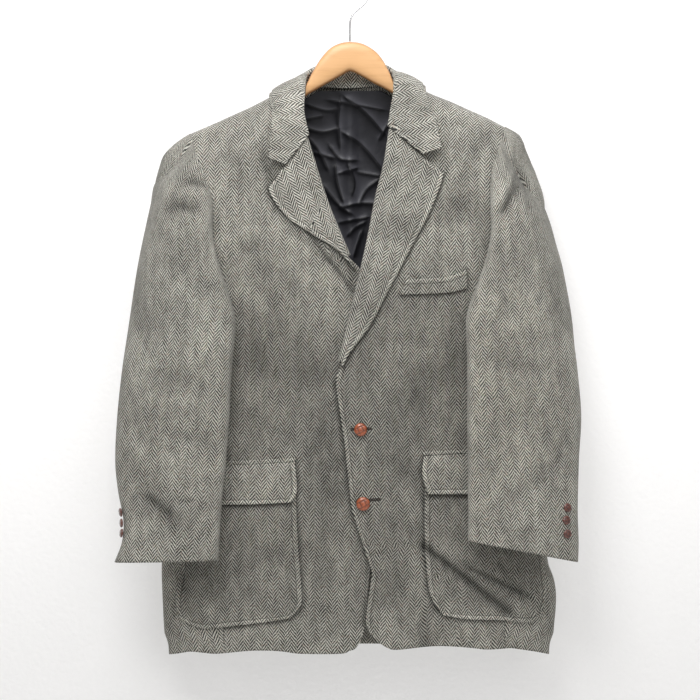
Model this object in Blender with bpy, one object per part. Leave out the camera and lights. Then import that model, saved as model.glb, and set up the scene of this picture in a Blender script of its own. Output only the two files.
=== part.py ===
"""A tweed hacking jacket hanging on a wooden hanger.

Every piece that is cut and sewn is a solid of its own: a cloth wall on a flat oval body form, or on a
sleeve form, parted from its neighbours at the seams. Names of pieces are the wearer's left and right,
so the left front is on the +X side. Sizes are in millimetres and are turned to metres when a mesh is
made. The origin is the inside top of the hook, +Z is up and the front of the jacket faces -Y.
"""

import math

import bmesh
import bpy
from mathutils import Vector

MM = 0.001
WALL = 2.2  # tweed with its canvas behind it
FACING_WALL = 2.4  # tweed turned over at an edge
LINING_WALL = 1.0
SEAM_GAP = 0.3  # between the edges of two pieces that are sewn together
LAY_GAP = 0.7  # under a piece that lies on another

# ---------------------------------------------------------------- smooth tables and lines


class Table:
    """Rows of named columns, the first one rising, read smoothly between its rows."""

    def __init__(self, columns, *rows):
        self.names = columns.split()
        self.rows = sorted(rows)

    def slope(self, i, column):
        low, high = max(i - 1, 0), min(i + 1, len(self.rows) - 1)
        run = self.rows[high][0] - self.rows[low][0]
        return (self.rows[high][column] - self.rows[low][column]) / run

    def read(self, key, name):
        rows, column = self.rows, self.names.index(name)
        if key <= rows[0][0]:
            return rows[0][column]
        if key >= rows[-1][0]:
            return rows[-1][column]
        i = max(i for i, row in enumerate(rows) if row[0] < key)
        run = rows[i + 1][0] - rows[i][0]
        t = (key - rows[i][0]) / run
        start, end = rows[i][column], rows[i + 1][column]
        a, b = self.slope(i, column) * run, self.slope(i + 1, column) * run
        return (
            (2 * t**3 - 3 * t**2 + 1) * start
            + (t**3 - 2 * t**2 + t) * a
            + (3 * t**2 - 2 * t**3) * end
            + (t**3 - t**2) * b
        )

    def row(self, key):
        """All the columns after the first at this key, as a list."""
        return [self.read(key, name) for name in self.names[1:]]


class Line:
    """A smooth line through points, read by its share of length from 0 to 1."""

    STEPS = 10

    def __init__(self, *points):
        points = [Vector(p) for p in points]
        ends = [2 * points[0] - points[1], *points, 2 * points[-1] - points[-2]]
        self.fine = [points[0]]
        for i in range(1, len(ends) - 2):
            for step in range(1, self.STEPS + 1):
                self.fine.append(self.between(ends[i - 1 : i + 3], step / self.STEPS))
        self.reach = [0.0]
        for a, b in zip(self.fine, self.fine[1:]):
            self.reach.append(self.reach[-1] + (b - a).length)

    @staticmethod
    def between(four, t):
        a, b, c, d = four
        return 0.5 * (
            2 * b
            + (c - a) * t
            + (2 * a - 5 * b + 4 * c - d) * t**2
            + (3 * b - a - 3 * c + d) * t**3
        )

    @property
    def length(self):
        return self.reach[-1]

    def at(self, share):
        goal = min(max(share, 0.0), 1.0) * self.length
        i = next((k for k in range(1, len(self.reach)) if self.reach[k] >= goal), len(self.reach) - 1)
        run = self.reach[i] - self.reach[i - 1]
        t = (goal - self.reach[i - 1]) / run if run else 0.0
        return self.fine[i - 1].lerp(self.fine[i], t)


def share_of(line, point):
    """The share of a line's length at which it passes a point."""
    goal = Vector(point)
    nearest = min(range(len(line.fine)), key=lambda i: (line.fine[i] - goal).length)
    return line.reach[nearest] / line.length


def smooth(t):
    """0 below 0, 1 above 1 and an even curve between them."""
    t = min(max(t, 0.0), 1.0)
    return t * t * (3 - 2 * t)


def coons(bottom, top, inner, outer):
    """The flat (x, z) point of a four-sided patch, u from inner to outer and v from bottom to top."""

    def point(u, v):
        sides = inner.at(v).lerp(outer.at(v), u)
        ends = bottom.at(u).lerp(top.at(u), v)
        low = bottom.at(0).lerp(bottom.at(1), u)
        high = top.at(0).lerp(top.at(1), u)
        return sides + ends - low.lerp(high, v)

    return point


def steps(count, first=0.0, last=1.0):
    return [first + (last - first) * i / count for i in range(count + 1)]


# ---------------------------------------------------------------- the body form

SECTION_POWER = 2.4  # 2 is an ellipse; more is flatter with rounder sides
SHOULDER_DROP = 120.0  # below the shoulder line the form reaches its full depth here

# Across the hung jacket at a height: where its sides are, and how deep its front and back are.
BODY = Table(
    "z left right front back",
    (-960, -257, 282, 41, 38),
    (-915, -259, 284, 44, 40),
    (-870, -261, 287, 46, 41),
    (-845, -262, 284, 46, 41),
    (-822, -262, 276, 46, 41),
    (-750, -257, 266, 46, 41),
    (-650, -253, 262, 46, 40),
    (-550, -253, 261, 48, 42),
    (-470, -253, 260, 51, 45),
    (-400, -256, 262, 54, 47),
    (-300, -264, 267, 54, 47),
    (-220, -276, 276, 50, 45),
    (-110, -285, 282, 46, 43),
)

# The line of the shoulders, carried on over the neck.
SHOULDER = Table(
    "x z",
    (-300, -263),
    (-247, -238),
    (-222, -225.5),
    (-193, -212.5),
    (-165, -199.5),
    (-138, -187.5),
    (-110, -173.5),
    (-83, -159.5),
    (-62, -149.5),
    (0, -137),
    (62, -144),
    (83, -153.5),
    (110, -167.5),
    (138, -179),
    (165, -191.5),
    (193, -204),
    (216, -216),
    (240, -227),
    (290, -251),
)

# The soft roll that lifts the right front along its lapel edge: the crest, the crease under it, and
# how far the crest stands forward.
ROLLED_EDGE = Table(
    "x crest crease height",
    (-112, -302, -306, 0.0),
    (-96, -332, -340, 1.0),
    (-81, -348, -362, 3.0),
    (-67, -357, -374, 6.0),
    (-52, -367, -388, 9.0),
    (-40, -374, -399, 10.5),
    (-28, -381, -408, 10.5),
    (-14, -391, -424, 9.0),
    (4, -404, -442, 5.0),
    (16, -420, -450, 1.5),
    (30, -450, -475, 0.0),
)
ROLL_FADE = 75.0  # above its crest the roll dies away over this height

FRONT, BACK = -1, 1


def section(x, z):
    """How far across the form x is, from -1 to 1, and how far up the shoulder z is, from 0 to 1."""
    left, right, _, _ = BODY.row(z)
    across = (x - (left + right) / 2) / ((right - left) / 2)
    under = (SHOULDER.read(x, "z") - z) / SHOULDER_DROP
    return across, min(max(under, -0.2), 1.0)


def depth_factor(x, z):
    across, under = section(x, z)
    return (1 - abs(across) ** SECTION_POWER) * (1 - (1 - under) ** 2)


def body_depth(z, side):
    return BODY.read(z, "front") if side == FRONT else BODY.read(z, "back")


def form(x, y, z):
    """Below 0 inside the body form, 0 on it and above 0 outside."""
    side = FRONT if y < 0 else BACK
    return (y / body_depth(z, side)) ** 2 - depth_factor(x, z)


def rolled(x, z):
    """How far the right front stands forward at its rolled lapel edge."""
    if not ROLLED_EDGE.rows[0][0] < x < ROLLED_EDGE.rows[-1][0]:
        return 0.0
    crest, crease, height = ROLLED_EDGE.row(x)
    if z <= crease:
        return 0.0
    if z >= crest:
        return height * (1 - smooth((z - crest) / ROLL_FADE))
    rise = (z - crease) / (crest - crease)
    return height * (1 - (1 - rise) ** 2)


def on_body(x, z, side):
    """The point of the body form at x and z on its front or back."""
    return Vector((x, side * body_depth(z, side) * math.sqrt(max(depth_factor(x, z), 0.0)), z))


def around_body(angle, z):
    """The point of the form at a height: 0 degrees is its +X side, 90 the front and 180 the -X side."""
    left, right, _, _ = BODY.row(z)
    turn = math.radians(angle)
    reach = math.copysign(abs(math.cos(turn)) ** (2 / SECTION_POWER), math.cos(turn))
    x = (left + right) / 2 + reach * (right - left) / 2
    side = FRONT if math.sin(turn) >= 0 else BACK
    _, under = section(x, z)
    rise = math.sqrt(max(1 - (1 - under) ** 2, 0.0))
    return Vector((x, side * body_depth(z, side) * abs(math.sin(turn)) * rise, z))


def angle_at(x, z, side):
    """The angle around the form of the point at x on its front or back."""
    across, _ = section(x, z)
    across = min(max(across, -1.0), 1.0)
    turn = math.degrees(math.acos(math.copysign(abs(across) ** (SECTION_POWER / 2), across)))
    return turn if side == FRONT else -turn


def normal_at(p, step=0.4):
    """The direction straight out of the body form at a point of it."""
    grad = [
        form(p.x + step, p.y, p.z) - form(p.x - step, p.y, p.z),
        form(p.x, p.y + step, p.z) - form(p.x, p.y - step, p.z),
        form(p.x, p.y, p.z + step) - form(p.x, p.y, p.z - step),
    ]
    return Vector(grad).normalized()


def clear_of_body(p, lift, rounds=5, step=0.4):
    """The point moved out, where it is nearer to the body form than lift."""
    for _ in range(rounds):
        grad = Vector([
            form(p.x + step, p.y, p.z) - form(p.x - step, p.y, p.z),
            form(p.x, p.y + step, p.z) - form(p.x, p.y - step, p.z),
            form(p.x, p.y, p.z + step) - form(p.x, p.y, p.z - step),
        ]) / (2 * step)
        steep = max(grad.length, 1e-6)
        away = form(p.x, p.y, p.z) / steep
        if away >= lift:
            return p
        p = p + grad / steep * min(lift - away, 12.0)
    return p


# The largest folds of the hanging cloth, each a soft trough from one (x, z) to another.
# Columns: x, z, to x, to z, width and depth.
FOLDS = {
    "front_left": [
        (106, -802, 222, -894, 15.0, 2.6),
        (110, -880, 106, -930, 14.0, 2.0),
        (96, -560, 104, -650, 18.0, 2.0),
    ],
    "front_right": [
        (-40, -560, -36, -840, 22.0, 1.6),
        (-150, -470, -120, -560, 18.0, 2.0),
        (-96, -640, -60, -560, 18.0, 1.4),
    ],
    "sleeve_left": [
        (240, -268, 214, -335, 12.0, 3.0),
        (205, -540, 262, -556, 18.0, 1.6),
        (210, -625, 250, -612, 20.0, 1.4),
    ],
    "sleeve_right": [
        (-222, -294, -204, -292, 12.0, 2.0),
        (-244, -331, -214, -327, 14.0, 2.4),
        (-278, -727, -243, -757, 14.0, 2.4),
        (-250, -560, -200, -575, 20.0, 1.6),
    ],
}


def fold_depth(place, x, z):
    """How far the folds of a place draw the cloth in at x and z."""
    total = 0.0
    for start_x, start_z, end_x, end_z, wide, deep in FOLDS[place]:
        run_x, run_z = end_x - start_x, end_z - start_z
        along = ((x - start_x) * run_x + (z - start_z) * run_z) / (run_x**2 + run_z**2)
        along = min(max(along, 0.0), 1.0)
        away = math.hypot(x - start_x - run_x * along, z - start_z - run_z * along)
        total += deep * math.exp(-((away / wide) ** 2))
    return total


# ---------------------------------------------------------------- meshes


def cloth(name, shade, rough=0.9):
    made = bpy.data.materials.new(name)
    made.use_nodes = True
    shader = made.node_tree.nodes["Principled BSDF"]
    shader.inputs["Base Color"].default_value = (*shade, 1.0)
    shader.inputs["Roughness"].default_value = rough
    return made


def metal(name, shade, rough):
    made = cloth(name, shade, rough)
    made.node_tree.nodes["Principled BSDF"].inputs["Metallic"].default_value = 1.0
    return made


def add_mesh(name, bm, material):
    """Closes the bmesh's books: faces out, in metres, one object named for its piece."""
    bmesh.ops.remove_doubles(bm, verts=bm.verts, dist=1e-4)
    bmesh.ops.recalc_face_normals(bm, faces=bm.faces)
    bmesh.ops.scale(bm, verts=bm.verts, vec=(MM, MM, MM))
    mesh = bpy.data.meshes.new(name)
    bm.to_mesh(mesh)
    bm.free()
    mesh.shade_smooth()
    mesh.materials.append(material)
    made = bpy.data.objects.new(name, mesh)
    bpy.context.collection.objects.link(made)
    return made


def add_wall(name, outer, inner, material):
    """A closed wall between two grids of points, each a list of rows."""
    rows, columns = len(outer), len(outer[0])
    bm = bmesh.new()
    skins = [[[bm.verts.new(p) for p in row] for row in grid] for grid in (outer, inner)]
    for i in range(rows - 1):
        for j in range(columns - 1):
            corners = [(i, j), (i, j + 1), (i + 1, j + 1), (i + 1, j)]
            a, b, c, d = (outer[row][column] for row, column in corners)
            if (a - c).length > (b - d).length:
                corners = corners[1:] + corners[:1]
            for skin, turn in zip(skins, (1, -1)):
                a, b, c, d = (skin[row][column] for row, column in corners)
                bm.faces.new([a, b, c][::turn])
                bm.faces.new([a, c, d][::turn])
    rim = [(0, j) for j in range(columns)]
    rim += [(i, columns - 1) for i in range(1, rows)]
    rim += [(rows - 1, j) for j in range(columns - 2, -1, -1)]
    rim += [(i, 0) for i in range(rows - 2, 0, -1)]
    for (a, b), (c, d) in zip(rim, rim[1:] + rim[:1]):
        bm.faces.new([skins[0][c][d], skins[0][a][b], skins[1][a][b], skins[1][c][d]])
    return add_mesh(name, bm, material)


def wall_on_body(name, point, us, vs, material, lift=None, wall=WALL, side=FRONT):
    """A cloth wall on the body form: point gives (x, z) and lift how far out its outer face lies."""
    outer, inner = [], []
    for v in vs:
        outer.append([])
        inner.append([])
        for u in us:
            x, z = point(u, v)
            base = on_body(x, z, side)
            out = normal_at(base)
            high = lift(x, z, u, v) if lift else 0.0
            outer[-1].append(base + out * high)
            inner[-1].append(base + out * (high - wall))
    return add_wall(name, outer, inner, material)


# ---------------------------------------------------------------- fronts, sides and back

NECK_SIDE = 74.0  # where the shoulder seams start, beside the neck
ROLL_SETBACK = 5.0  # the fronts stop this far inside the roll of the lapels
ARMHOLE_UNDER = 2.5  # fronts, backs and sides reach this far under the sleeve heads

ROLL_LINE = {
    "left": [(-18.5, -547), (-9, -508), (2, -460), (12, -420), (24, -366), (34, -314), (45, -270), (53, -221)],
    "right": [(2, -396), (-6.5, -377), (-16.2, -354), (-26, -330), (-37, -298), (-48, -263), (-57, -233)],
}
NECK_LINE = {
    "left": [(57, -193), (63, -173), (NECK_SIDE, -148)],
    "right": [(-65.5, -203), (-68, -180), (-NECK_SIDE, -155)],
}
FRONT_EDGE = {
    "left": [
        (38.5, -928), (27, -914), (22, -900), (24, -878), (28, -851), (30, -832), (24.5, -814),
        (14, -782), (5, -753), (2, -740), (-3, -697), (-8, -650), (-14, -610), (-19, -570),
    ],
    "right": [
        (14, -928), (19, -913), (24, -880), (26, -845), (32, -800), (36, -740), (38, -660),
        (38, -580), (37, -510), (33, -462), (25, -434), (12, -412),
    ],
}
# The seams of the side bodies in front and at the back, by height.
SIDE_SEAM = {
    "left": Table("z x", (-950, 215), (-850, 213), (-700, 210), (-600, 212), (-500, 217), (-455, 219.5)),
    "right": Table("z x", (-950, -174), (-850, -178), (-700, -187), (-600, -195), (-500, -206), (-455, -211)),
}
BACK_SEAM = {
    "left": Table("z x", (-950, 209), (-850, 208), (-700, 206), (-600, 209), (-500, 213), (-455, 215)),
    "right": Table("z x", (-950, -199), (-850, -200), (-700, -202), (-600, -206), (-500, -209), (-455, -210.5)),
}
ARMHOLE_FRONT = {
    "left": [(219.5, -455), (207, -425), (197, -375), (193, -320), (195, -281), (204, -250), (216, -216)],
    "right": [(-211, -455), (-200, -425), (-190, -375), (-189, -325), (-197, -292), (-211, -260), (-222, -225)],
}
ARMHOLE_BACK = {
    "left": [(215, -455), (208, -425), (200, -375), (197, -320), (199, -281), (206, -250), (216, -216)],
    "right": [(-210.5, -455), (-205, -425), (-199, -375), (-198, -325), (-203, -292), (-213, -260), (-222, -225)],
}
UNDERARM = {"left": -474.0, "right": -472.0}
SIDE_GAP = 0.5  # between the side bodies and their neighbours
SEAM_TOP = -455.0  # where the side seams run into the armholes
HEM = {
    "left": [(38.5, -928), (52, -936.5), (64, -939), (97, -936), (129, -934.5), (173, -938), (215, -945)],
    "right": [
        (14, -928), (7, -938), (-1, -941), (-14, -945), (-68, -945), (-98, -941.5), (-135, -941), (-174, -945),
    ],
}
HEM_SIDE = {"left": -957.0, "right": -957.0}
HEM_BACK = -938.0
BACK_NECK = {"left": -156.5, "right": -161.0}
BACK_NECK_MIDDLE = -161.0

# How far down the shoulder the rows of a front or back lie, as shares of the whole length.
TOP_ROWS = [0, 4, 14, 29, 48, 72, 98]
FRONT_ROWS = [127, 162, 205, 250, 292, 335, 380, 425, 475, 525, 575, 625, 670, 705]
BACK_ROWS = [130, 172, 225, 290, 360, 440, 520, 600, 670, 712]
PANEL_LENGTH = 745.0

# How far out the left front lies over the right one, by height: more where its lapel turns under.
OVERLAP = Table(
    "z lift",
    (-960, 3.1),
    (-600, 3.1),
    (-548, 6.2),
    (-480, 7.2),
    (-435, 9.0),
    (-400, 9.0),
    (-365, 6.0),
    (-320, 2.0),
    (-280, 0.0),
)
OVERLAP_ENDS = (48.0, 150.0)  # in x, where it begins and ends to ease down to the form


def rows_down(long_rows, corners=()):
    """Shares of height for a front or back, from the hem up, some of them just at corners of its edge."""
    down = [d / PANEL_LENGTH for d in TOP_ROWS + long_rows] + [1.0]
    shares = [1 - share for share in reversed(down)]
    kept = [v for v in shares if all(abs(v - corner) > 0.018 for corner in corners)]
    return sorted([*kept, *corners])


def shoulder_points(start, end, count=8):
    """Points on the shoulder line from start to end in x."""
    return [(x, SHOULDER.read(x, "z")) for x in steps(count, start, end)]


def side_sign(side):
    return 1 if side == "left" else -1


def shifted(points, x):
    return [(px + x, pz) for px, pz in points]


def left_front_lift(x, z):
    """The left front over the right one, easing down to the form towards its side."""
    start, end = OVERLAP_ENDS
    return OVERLAP.read(z, "lift") * (1 - smooth((x - start) / (end - start)))


def front_lift(side, x, z):
    """How far out of the form the outer face of a front, and of the side body beside it, lies."""
    over = left_front_lift(x, z) if side == "left" else rolled(x, z)
    return over - fold_depth(f"front_{side}", x, z)


def seam_points(seam, low, count=10):
    """Points up a side seam from a height to the armhole."""
    return [(seam.read(z, "x"), z) for z in steps(count, low, SEAM_TOP)]


def armhole_side(sign, seam, armhole, low):
    """The side edge of a front or back: up its seam, then round the armhole, a little under the sleeve."""
    gap = sign * SIDE_GAP / 2
    under = [(x + sign * ARMHOLE_UNDER, z) for x, z in armhole[1:]]
    return shifted(seam_points(seam, low), -gap) + under


def seam_top_share(outer, seam):
    """The share of a side edge at which its seam runs into the armhole."""
    return share_of(outer, (seam.read(SEAM_TOP, "x"), SEAM_TOP))


def front_outline(side):
    """The four edges of a front in (x, z): hem, shoulder, front edge and side with armhole."""
    sign = side_sign(side)
    edge = FRONT_EDGE[side] + shifted(ROLL_LINE[side], sign * ROLL_SETBACK)
    edge += shifted(NECK_LINE[side][:-1], sign * ROLL_SETBACK) + [NECK_LINE[side][-1]]
    outer = armhole_side(sign, SIDE_SEAM[side], ARMHOLE_FRONT[side], HEM[side][-1][1])
    top = shoulder_points(sign * NECK_SIDE, outer[-1][0])
    edge[-1], outer[-1] = top[0], top[-1]
    hem = HEM[side][:-1] + [outer[0]]
    return Line(*hem), Line(*top), Line(*edge), Line(*outer)


def drop_below_ridge(point, drop):
    """The patch point, kept this far below the shoulder line so that the seam stays open."""

    def lowered(u, v):
        x, z = point(u, v)
        return x, min(z, SHOULDER.read(x, "z") - drop)

    return lowered


RIDGE_DROP = 0.02  # in z; with the form's roundness this parts front and back by the seam gap


def make_front(side, material):
    outline = front_outline(side)
    patch = drop_below_ridge(coons(*outline), RIDGE_DROP)
    roll_start = shifted(ROLL_LINE[side][:3], side_sign(side) * ROLL_SETBACK)
    corners = [share_of(outline[2], point) for point in roll_start]
    corners.append(seam_top_share(outline[3], SIDE_SEAM[side]))

    def lift(x, z, u, v):
        return front_lift(side, x, z)

    rows = rows_down(FRONT_ROWS, corners)
    return wall_on_body(f"front_{side}", patch, steps(14), rows, material, lift)


def make_back(side, material):
    sign = side_sign(side)
    gap = sign * SEAM_GAP / 2
    low = BACK_NECK[side]
    middle = [(gap, z) for z in (HEM_BACK, -700, -450, -300, BACK_NECK_MIDDLE)]
    neck = [(gap, BACK_NECK_MIDDLE), (sign * 30, low - 1), (sign * 56, low)]
    outer = armhole_side(sign, BACK_SEAM[side], ARMHOLE_BACK[side], HEM_BACK)
    top = shoulder_points(sign * NECK_SIDE, outer[-1][0])
    outer[-1] = top[-1]
    hem = [middle[0], (sign * 100, HEM_BACK), outer[0]]
    outline = Line(*hem), Line(*(neck + top)), Line(*middle), Line(*outer)
    patch = drop_below_ridge(coons(*outline), RIDGE_DROP)
    rows = rows_down(BACK_ROWS, [seam_top_share(outline[3], BACK_SEAM[side])])
    return wall_on_body(f"back_{side}", patch, steps(10), rows, material, side=BACK)


def underarm_point(side, u, z, gap=0.0):
    """The point u of the way round the side body at a height, from its front seam to its back one."""
    front = SIDE_SEAM[side].read(z, "x") + side_sign(side) * gap
    back = BACK_SEAM[side].read(z, "x") + side_sign(side) * gap
    start, end = angle_at(front, z, FRONT), angle_at(back, z, BACK)
    if side == "right":
        end += 360
    return around_body(start + (end - start) * u, z)


def underarm_height(side, u):
    """How high the side body reaches u of the way round: it dips under the arm."""
    return SEAM_TOP + (UNDERARM[side] - SEAM_TOP) * math.sin(math.pi * u)


def make_side(side, material):
    """The side body, from the front's seam round to the back's, up to the underarm."""
    front_hem = HEM[side][-1][1]

    def height(u, v):
        low = (1 - u) * front_hem + u * HEM_BACK
        low += (HEM_SIDE[side] - low) * math.sin(math.pi * u)
        return low + (underarm_height(side, u) - low) * v

    def lift(p):
        front_facing = smooth(-normal_at(p).y * 2)
        return front_lift(side, p.x, p.z) * front_facing

    outer, inner = [], []
    for v in steps(13):
        base = [underarm_point(side, u, height(u, v), SIDE_GAP / 2) for u in steps(9)]
        outer.append([p + normal_at(p) * lift(p) for p in base])
        inner.append([p + normal_at(p) * (lift(p) - WALL) for p in base])
    return add_wall(f"side_{side}", outer, inner, material)


# ---------------------------------------------------------------- lapels

LAPEL_EDGE = {
    "left": [
        (-10.5, -549), (-3, -534), (9.5, -516), (24, -497.5), (36.5, -476), (50, -448.5), (68.5, -414),
        (89, -375), (109.5, -336), (124, -300), (128.5, -283.5),
    ],
    "right": [
        (-14, -392), (-28, -381), (-40, -374), (-51, -367.5), (-67, -357), (-81, -348), (-98, -330),
        (-109, -312), (-112, -302),
    ],
}
GORGE = {
    "left": [(53, -221), (80, -243), (106, -265), (118, -274.5), (128.5, -283.5)],
    "right": [(-57, -233), (-76, -256), (-94, -279), (-103, -291), (-112, -302)],
}
LAPEL_GAP = 1.0  # between a lapel's facing and its front
LAPEL_CROWN = {"left": 4.5, "right": 3.0}  # how far the middle of the lapel stands off the front
LAPEL_START = 0.15  # this share of the roll's first stretch is left bare at its break
TURN_STEPS = 4
TURN_UNDER = 7.0


def lapel_patch(side):
    sign = side_sign(side)
    roll = shifted(ROLL_LINE[side], sign * ROLL_SETBACK)
    roll[0] = Vector(roll[0]).lerp(Vector(roll[1]), LAPEL_START)
    edge = LAPEL_EDGE[side]
    low = [roll[0], edge[0]]
    return coons(Line(*low), Line(roll[-1], *GORGE[side][1:]), Line(*roll), Line(*edge))


def make_lapel(side, material):
    """The lapel's facing: over the front from its edge to the roll, round it and a little way in."""
    sign = side_sign(side)
    patch = lapel_patch(side)
    over, under = LAPEL_GAP + FACING_WALL, -(WALL + LAPEL_GAP + FACING_WALL)
    middle, radius = (over + under) / 2, (over - under) / 2
    across = [("in", 0.0)] + [("turn", a) for a in steps(TURN_STEPS, 180, 0)]
    across += [("over", u) for u in steps(7)[1:]]
    away = Vector((-sign, 0, 0))
    outer, inner = [], []
    for v in steps(13):
        outer.append([])
        inner.append([])
        for kind, value in across:
            x, z = patch(value if kind == "over" else 0.0, v)
            base = on_body(x, z, FRONT)
            out = normal_at(base)
            rest = front_lift(side, x, z)
            if kind == "turn":
                spoke = out * math.cos(math.radians(value)) + away * math.sin(math.radians(value))
                centre = base + out * (rest + middle)
                outer[-1].append(centre + spoke * radius)
                inner[-1].append(centre + spoke * (radius - FACING_WALL))
                continue
            if kind == "in":
                base = base - away * TURN_UNDER
                high, wall = rest + under, -FACING_WALL
            else:
                crown = math.sin(math.pi * value) * smooth(3 * v) * smooth(4 * (1 - v) + 0.3)
                high, wall = rest + over + LAPEL_CROWN[side] * crown, FACING_WALL
            outer[-1].append(base + out * high)
            inner[-1].append(base + out * (high - wall))
    return add_wall(f"lapel_{side}", outer, inner, material)


# ---------------------------------------------------------------- collar

# Round the neck from the right lapel to the left one, by station: the bottom of the stand, the fold at
# the top, the middle of the fall and its outer edge. Heights of y are before the fall is laid on.
COLLAR = Table(
    "station stand_x stand_y stand_z fold_x fold_y fold_z mid_x mid_y mid_z edge_x edge_y edge_z",
    (0, -64, -39, -233, -57.5, -51, -230, -90, -60, -270, -112, -60, -262),
    (1, -71, -29, -201, -64.5, -42, -198, -88, -50, -224, -108, -52, -221),
    (2, -72, -17, -175, -63.5, -27, -171, -88, -32, -187, -107, -34, -195),
    (3, -68.5, 5, -153.5, -59, 4, -141, -84, 2, -153.5, -107, 0, -169.5),
    (4, -48, 15, -158, -40, 25, -129, -50, 36, -147, -68, 40, -175),
    (5, 0, 19, -160, 0, 30, -125, 0, 40, -146, 0, 44, -180),
    (6, 47, 16, -156.5, 40, 25, -127, 50, 36, -145, 66, 40, -172),
    (7, 69, 6, -150, 58, 4, -137, 81, 2, -149, 101, 0, -159),
    (8, 72, -17, -170, 61, -27, -164, 88, -32, -175, 106, -34, -178),
    (9, 67, -30, -194, 57, -42, -192, 90, -50, -211, 117, -52, -208),
    (10, 60, -40, -221, 53, -50, -217.5, 101, -60, -256, 126.5, -60, -248),
)
COLLAR_STATIONS = 10
COLLAR_LIFT = LAY_GAP + FACING_WALL + 0.4


def make_collar(material):
    """Stand and fall in one wall, folded over at the top."""

    def column(station):
        r = dict(zip(COLLAR.names[1:], COLLAR.row(station)))
        stand, fold, mid, edge = (
            Vector((r[f"{n}_x"], r[f"{n}_y"], r[f"{n}_z"])) for n in ("stand", "fold", "mid", "edge")
        )
        fall = Line(fold, mid, edge)
        points = [stand.lerp(fold, t) for t in (0.0, 0.5, 0.85)]
        points += [fall.at(t) for t in (0.0, 0.1, 0.25, 0.45, 0.65, 0.85, 1.0)]
        return points

    columns = [column(s) for s in steps(26, 0, COLLAR_STATIONS)]
    rows = len(columns[0])
    laid = []
    for i in range(rows):
        laid.append([])
        for points in columns:
            p = points[i]
            if i >= 4:
                blend = (i - 3) / (rows - 4)
                p = clear_of_body(p, COLLAR_LIFT + 3.5 * math.sin(math.pi * blend))
            laid[-1].append(p)
    outer, inner = [], []
    last = len(laid[0]) - 1
    for i in range(rows):
        outer.append([])
        inner.append([])
        for j in range(last + 1):
            up = laid[min(i + 1, rows - 1)][j] - laid[max(i - 1, 0)][j]
            along = laid[i][min(j + 1, last)] - laid[i][max(j - 1, 0)]
            out = up.cross(along).normalized()
            outer[-1].append(laid[i][j])
            inner[-1].append(laid[i][j] - out * FACING_WALL)
    return add_wall("collar", outer, inner, material)


# ---------------------------------------------------------------- sleeves

# The flattened tube under the armhole: its inner fold, its outer fold and half its depth.
SLEEVE = {
    "left": Table(
        "down in_x in_y in_z out_x out_y out_z half",
        (0, 160, -66, -492, 308, -6, -500, 27),
        (60, 161.5, -68, -552, 315, -18, -560, 26),
        (120, 161.5, -70, -612, 319.5, -30, -620, 25),
        (180, 161.5, -72, -672, 315, -42, -680, 24),
        (240, 161.5, -75, -732, 313, -52, -740, 23),
        (285, 161.5, -78, -772, 314, -58, -792, 22),
        (308, 161.5, -79, -787, 313, -60, -817, 22),
    ),
    "right": Table(
        "down in_x in_y in_z out_x out_y out_z half",
        (0, -158, -66, -500, -308, -6, -500, 27),
        (60, -163, -68, -560, -316, -18, -560, 26),
        (120, -166, -70, -620, -322, -30, -620, 25),
        (180, -171, -72, -680, -323.5, -42, -680, 24),
        (220, -174.5, -74, -720, -319, -49, -720, 23),
        (260, -177.5, -77, -760, -311.5, -55, -760, 22),
        (290, -179, -79, -790, -313.5, -58, -790, 22),
        (315, -180, -80, -814, -323, -60, -817, 22),
    ),
}
SLEEVE_POWER = 2.3

# Round the armhole by angle, 0 at the shoulder, 90 at the front and 180 under the arm: the place in the
# tube below that it runs down to, the way it leaves the armhole, and how strongly.
SLEEVE_RUN = Table(
    "turn ring away forward up pull",
    (0, 178, 0.75, 0.0, -0.66, 0.9),
    (30, 230, 0.62, 0.42, -0.62, 0.8),
    (60, 284, 0.3, 0.65, -0.65, 0.7),
    (90, 338, 0.0, 0.6, -0.75, 0.7),
    (105, 364, -0.2, 0.5, -0.8, 0.6),
    (120, 393, -0.3, 0.4, -0.85, 0.6),
    (150, 438, 0.0, 0.3, -0.95, 0.6),
    (165, 462, 0.2, 0.1, -0.95, 0.5),
    (180, 482, 0.5, 0.0, -0.85, 0.6),
    (195, 495, 0.6, -0.45, -0.65, 0.7),
    (206, 503, 0.55, -0.75, -0.35, 0.8),
    (214, 507, 0.5, -0.85, -0.2, 0.8),
    (222, 511, 0.6, -0.7, -0.3, 0.8),
    (235, 515, 0.7, -0.45, -0.4, 0.8),
    (270, 519, 0.72, -0.38, -0.5, 0.8),
    (300, 523, 0.72, -0.32, -0.55, 0.8),
    (330, 530, 0.72, -0.2, -0.62, 0.85),
    (360, 538, 0.75, 0.0, -0.66, 0.9),
)
HEAD_REACH = {"left": 0.5, "right": 0.95}  # how much of the way out each sleeve head goes
HEAD_ROWS = 8
HEAD_SHARE = 0.38
HEAD_LIFT = 1.9  # the sleeve head starts this far off the body panels
# Where the columns of the sleeve's two pieces leave the armhole; they meet at 125 and at 300 degrees.
SLEEVE_SEAM = 0.7  # between the edges of the two
TOP_SLEEVE = [-60, -40, -24, -12, -5, 0, 5, 12, 24, 38, 52, 66, 80, 93, 105, 115, 125]
UNDER_SLEEVE = [125, 139, 150, 158, 165, 171, 177, 183, 189, 196, 204, 212, 221, 234, 252, 275, 300]
UNDER_LAG = 70.0  # behind, the tube starts this much lower
UNDERARM_ROOM = 2.0  # more room between the side body and the cloth that hangs beside it

# How far the sleeve stands off the body under it, by height: the pockets lie between them lower down.
SLEEVE_CLEAR = Table("z gap", (-820, 8.5), (-660, 8.5), (-640, 7.0), (-600, 2.0), (-540, 1.2), (-200, 1.2))


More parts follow.
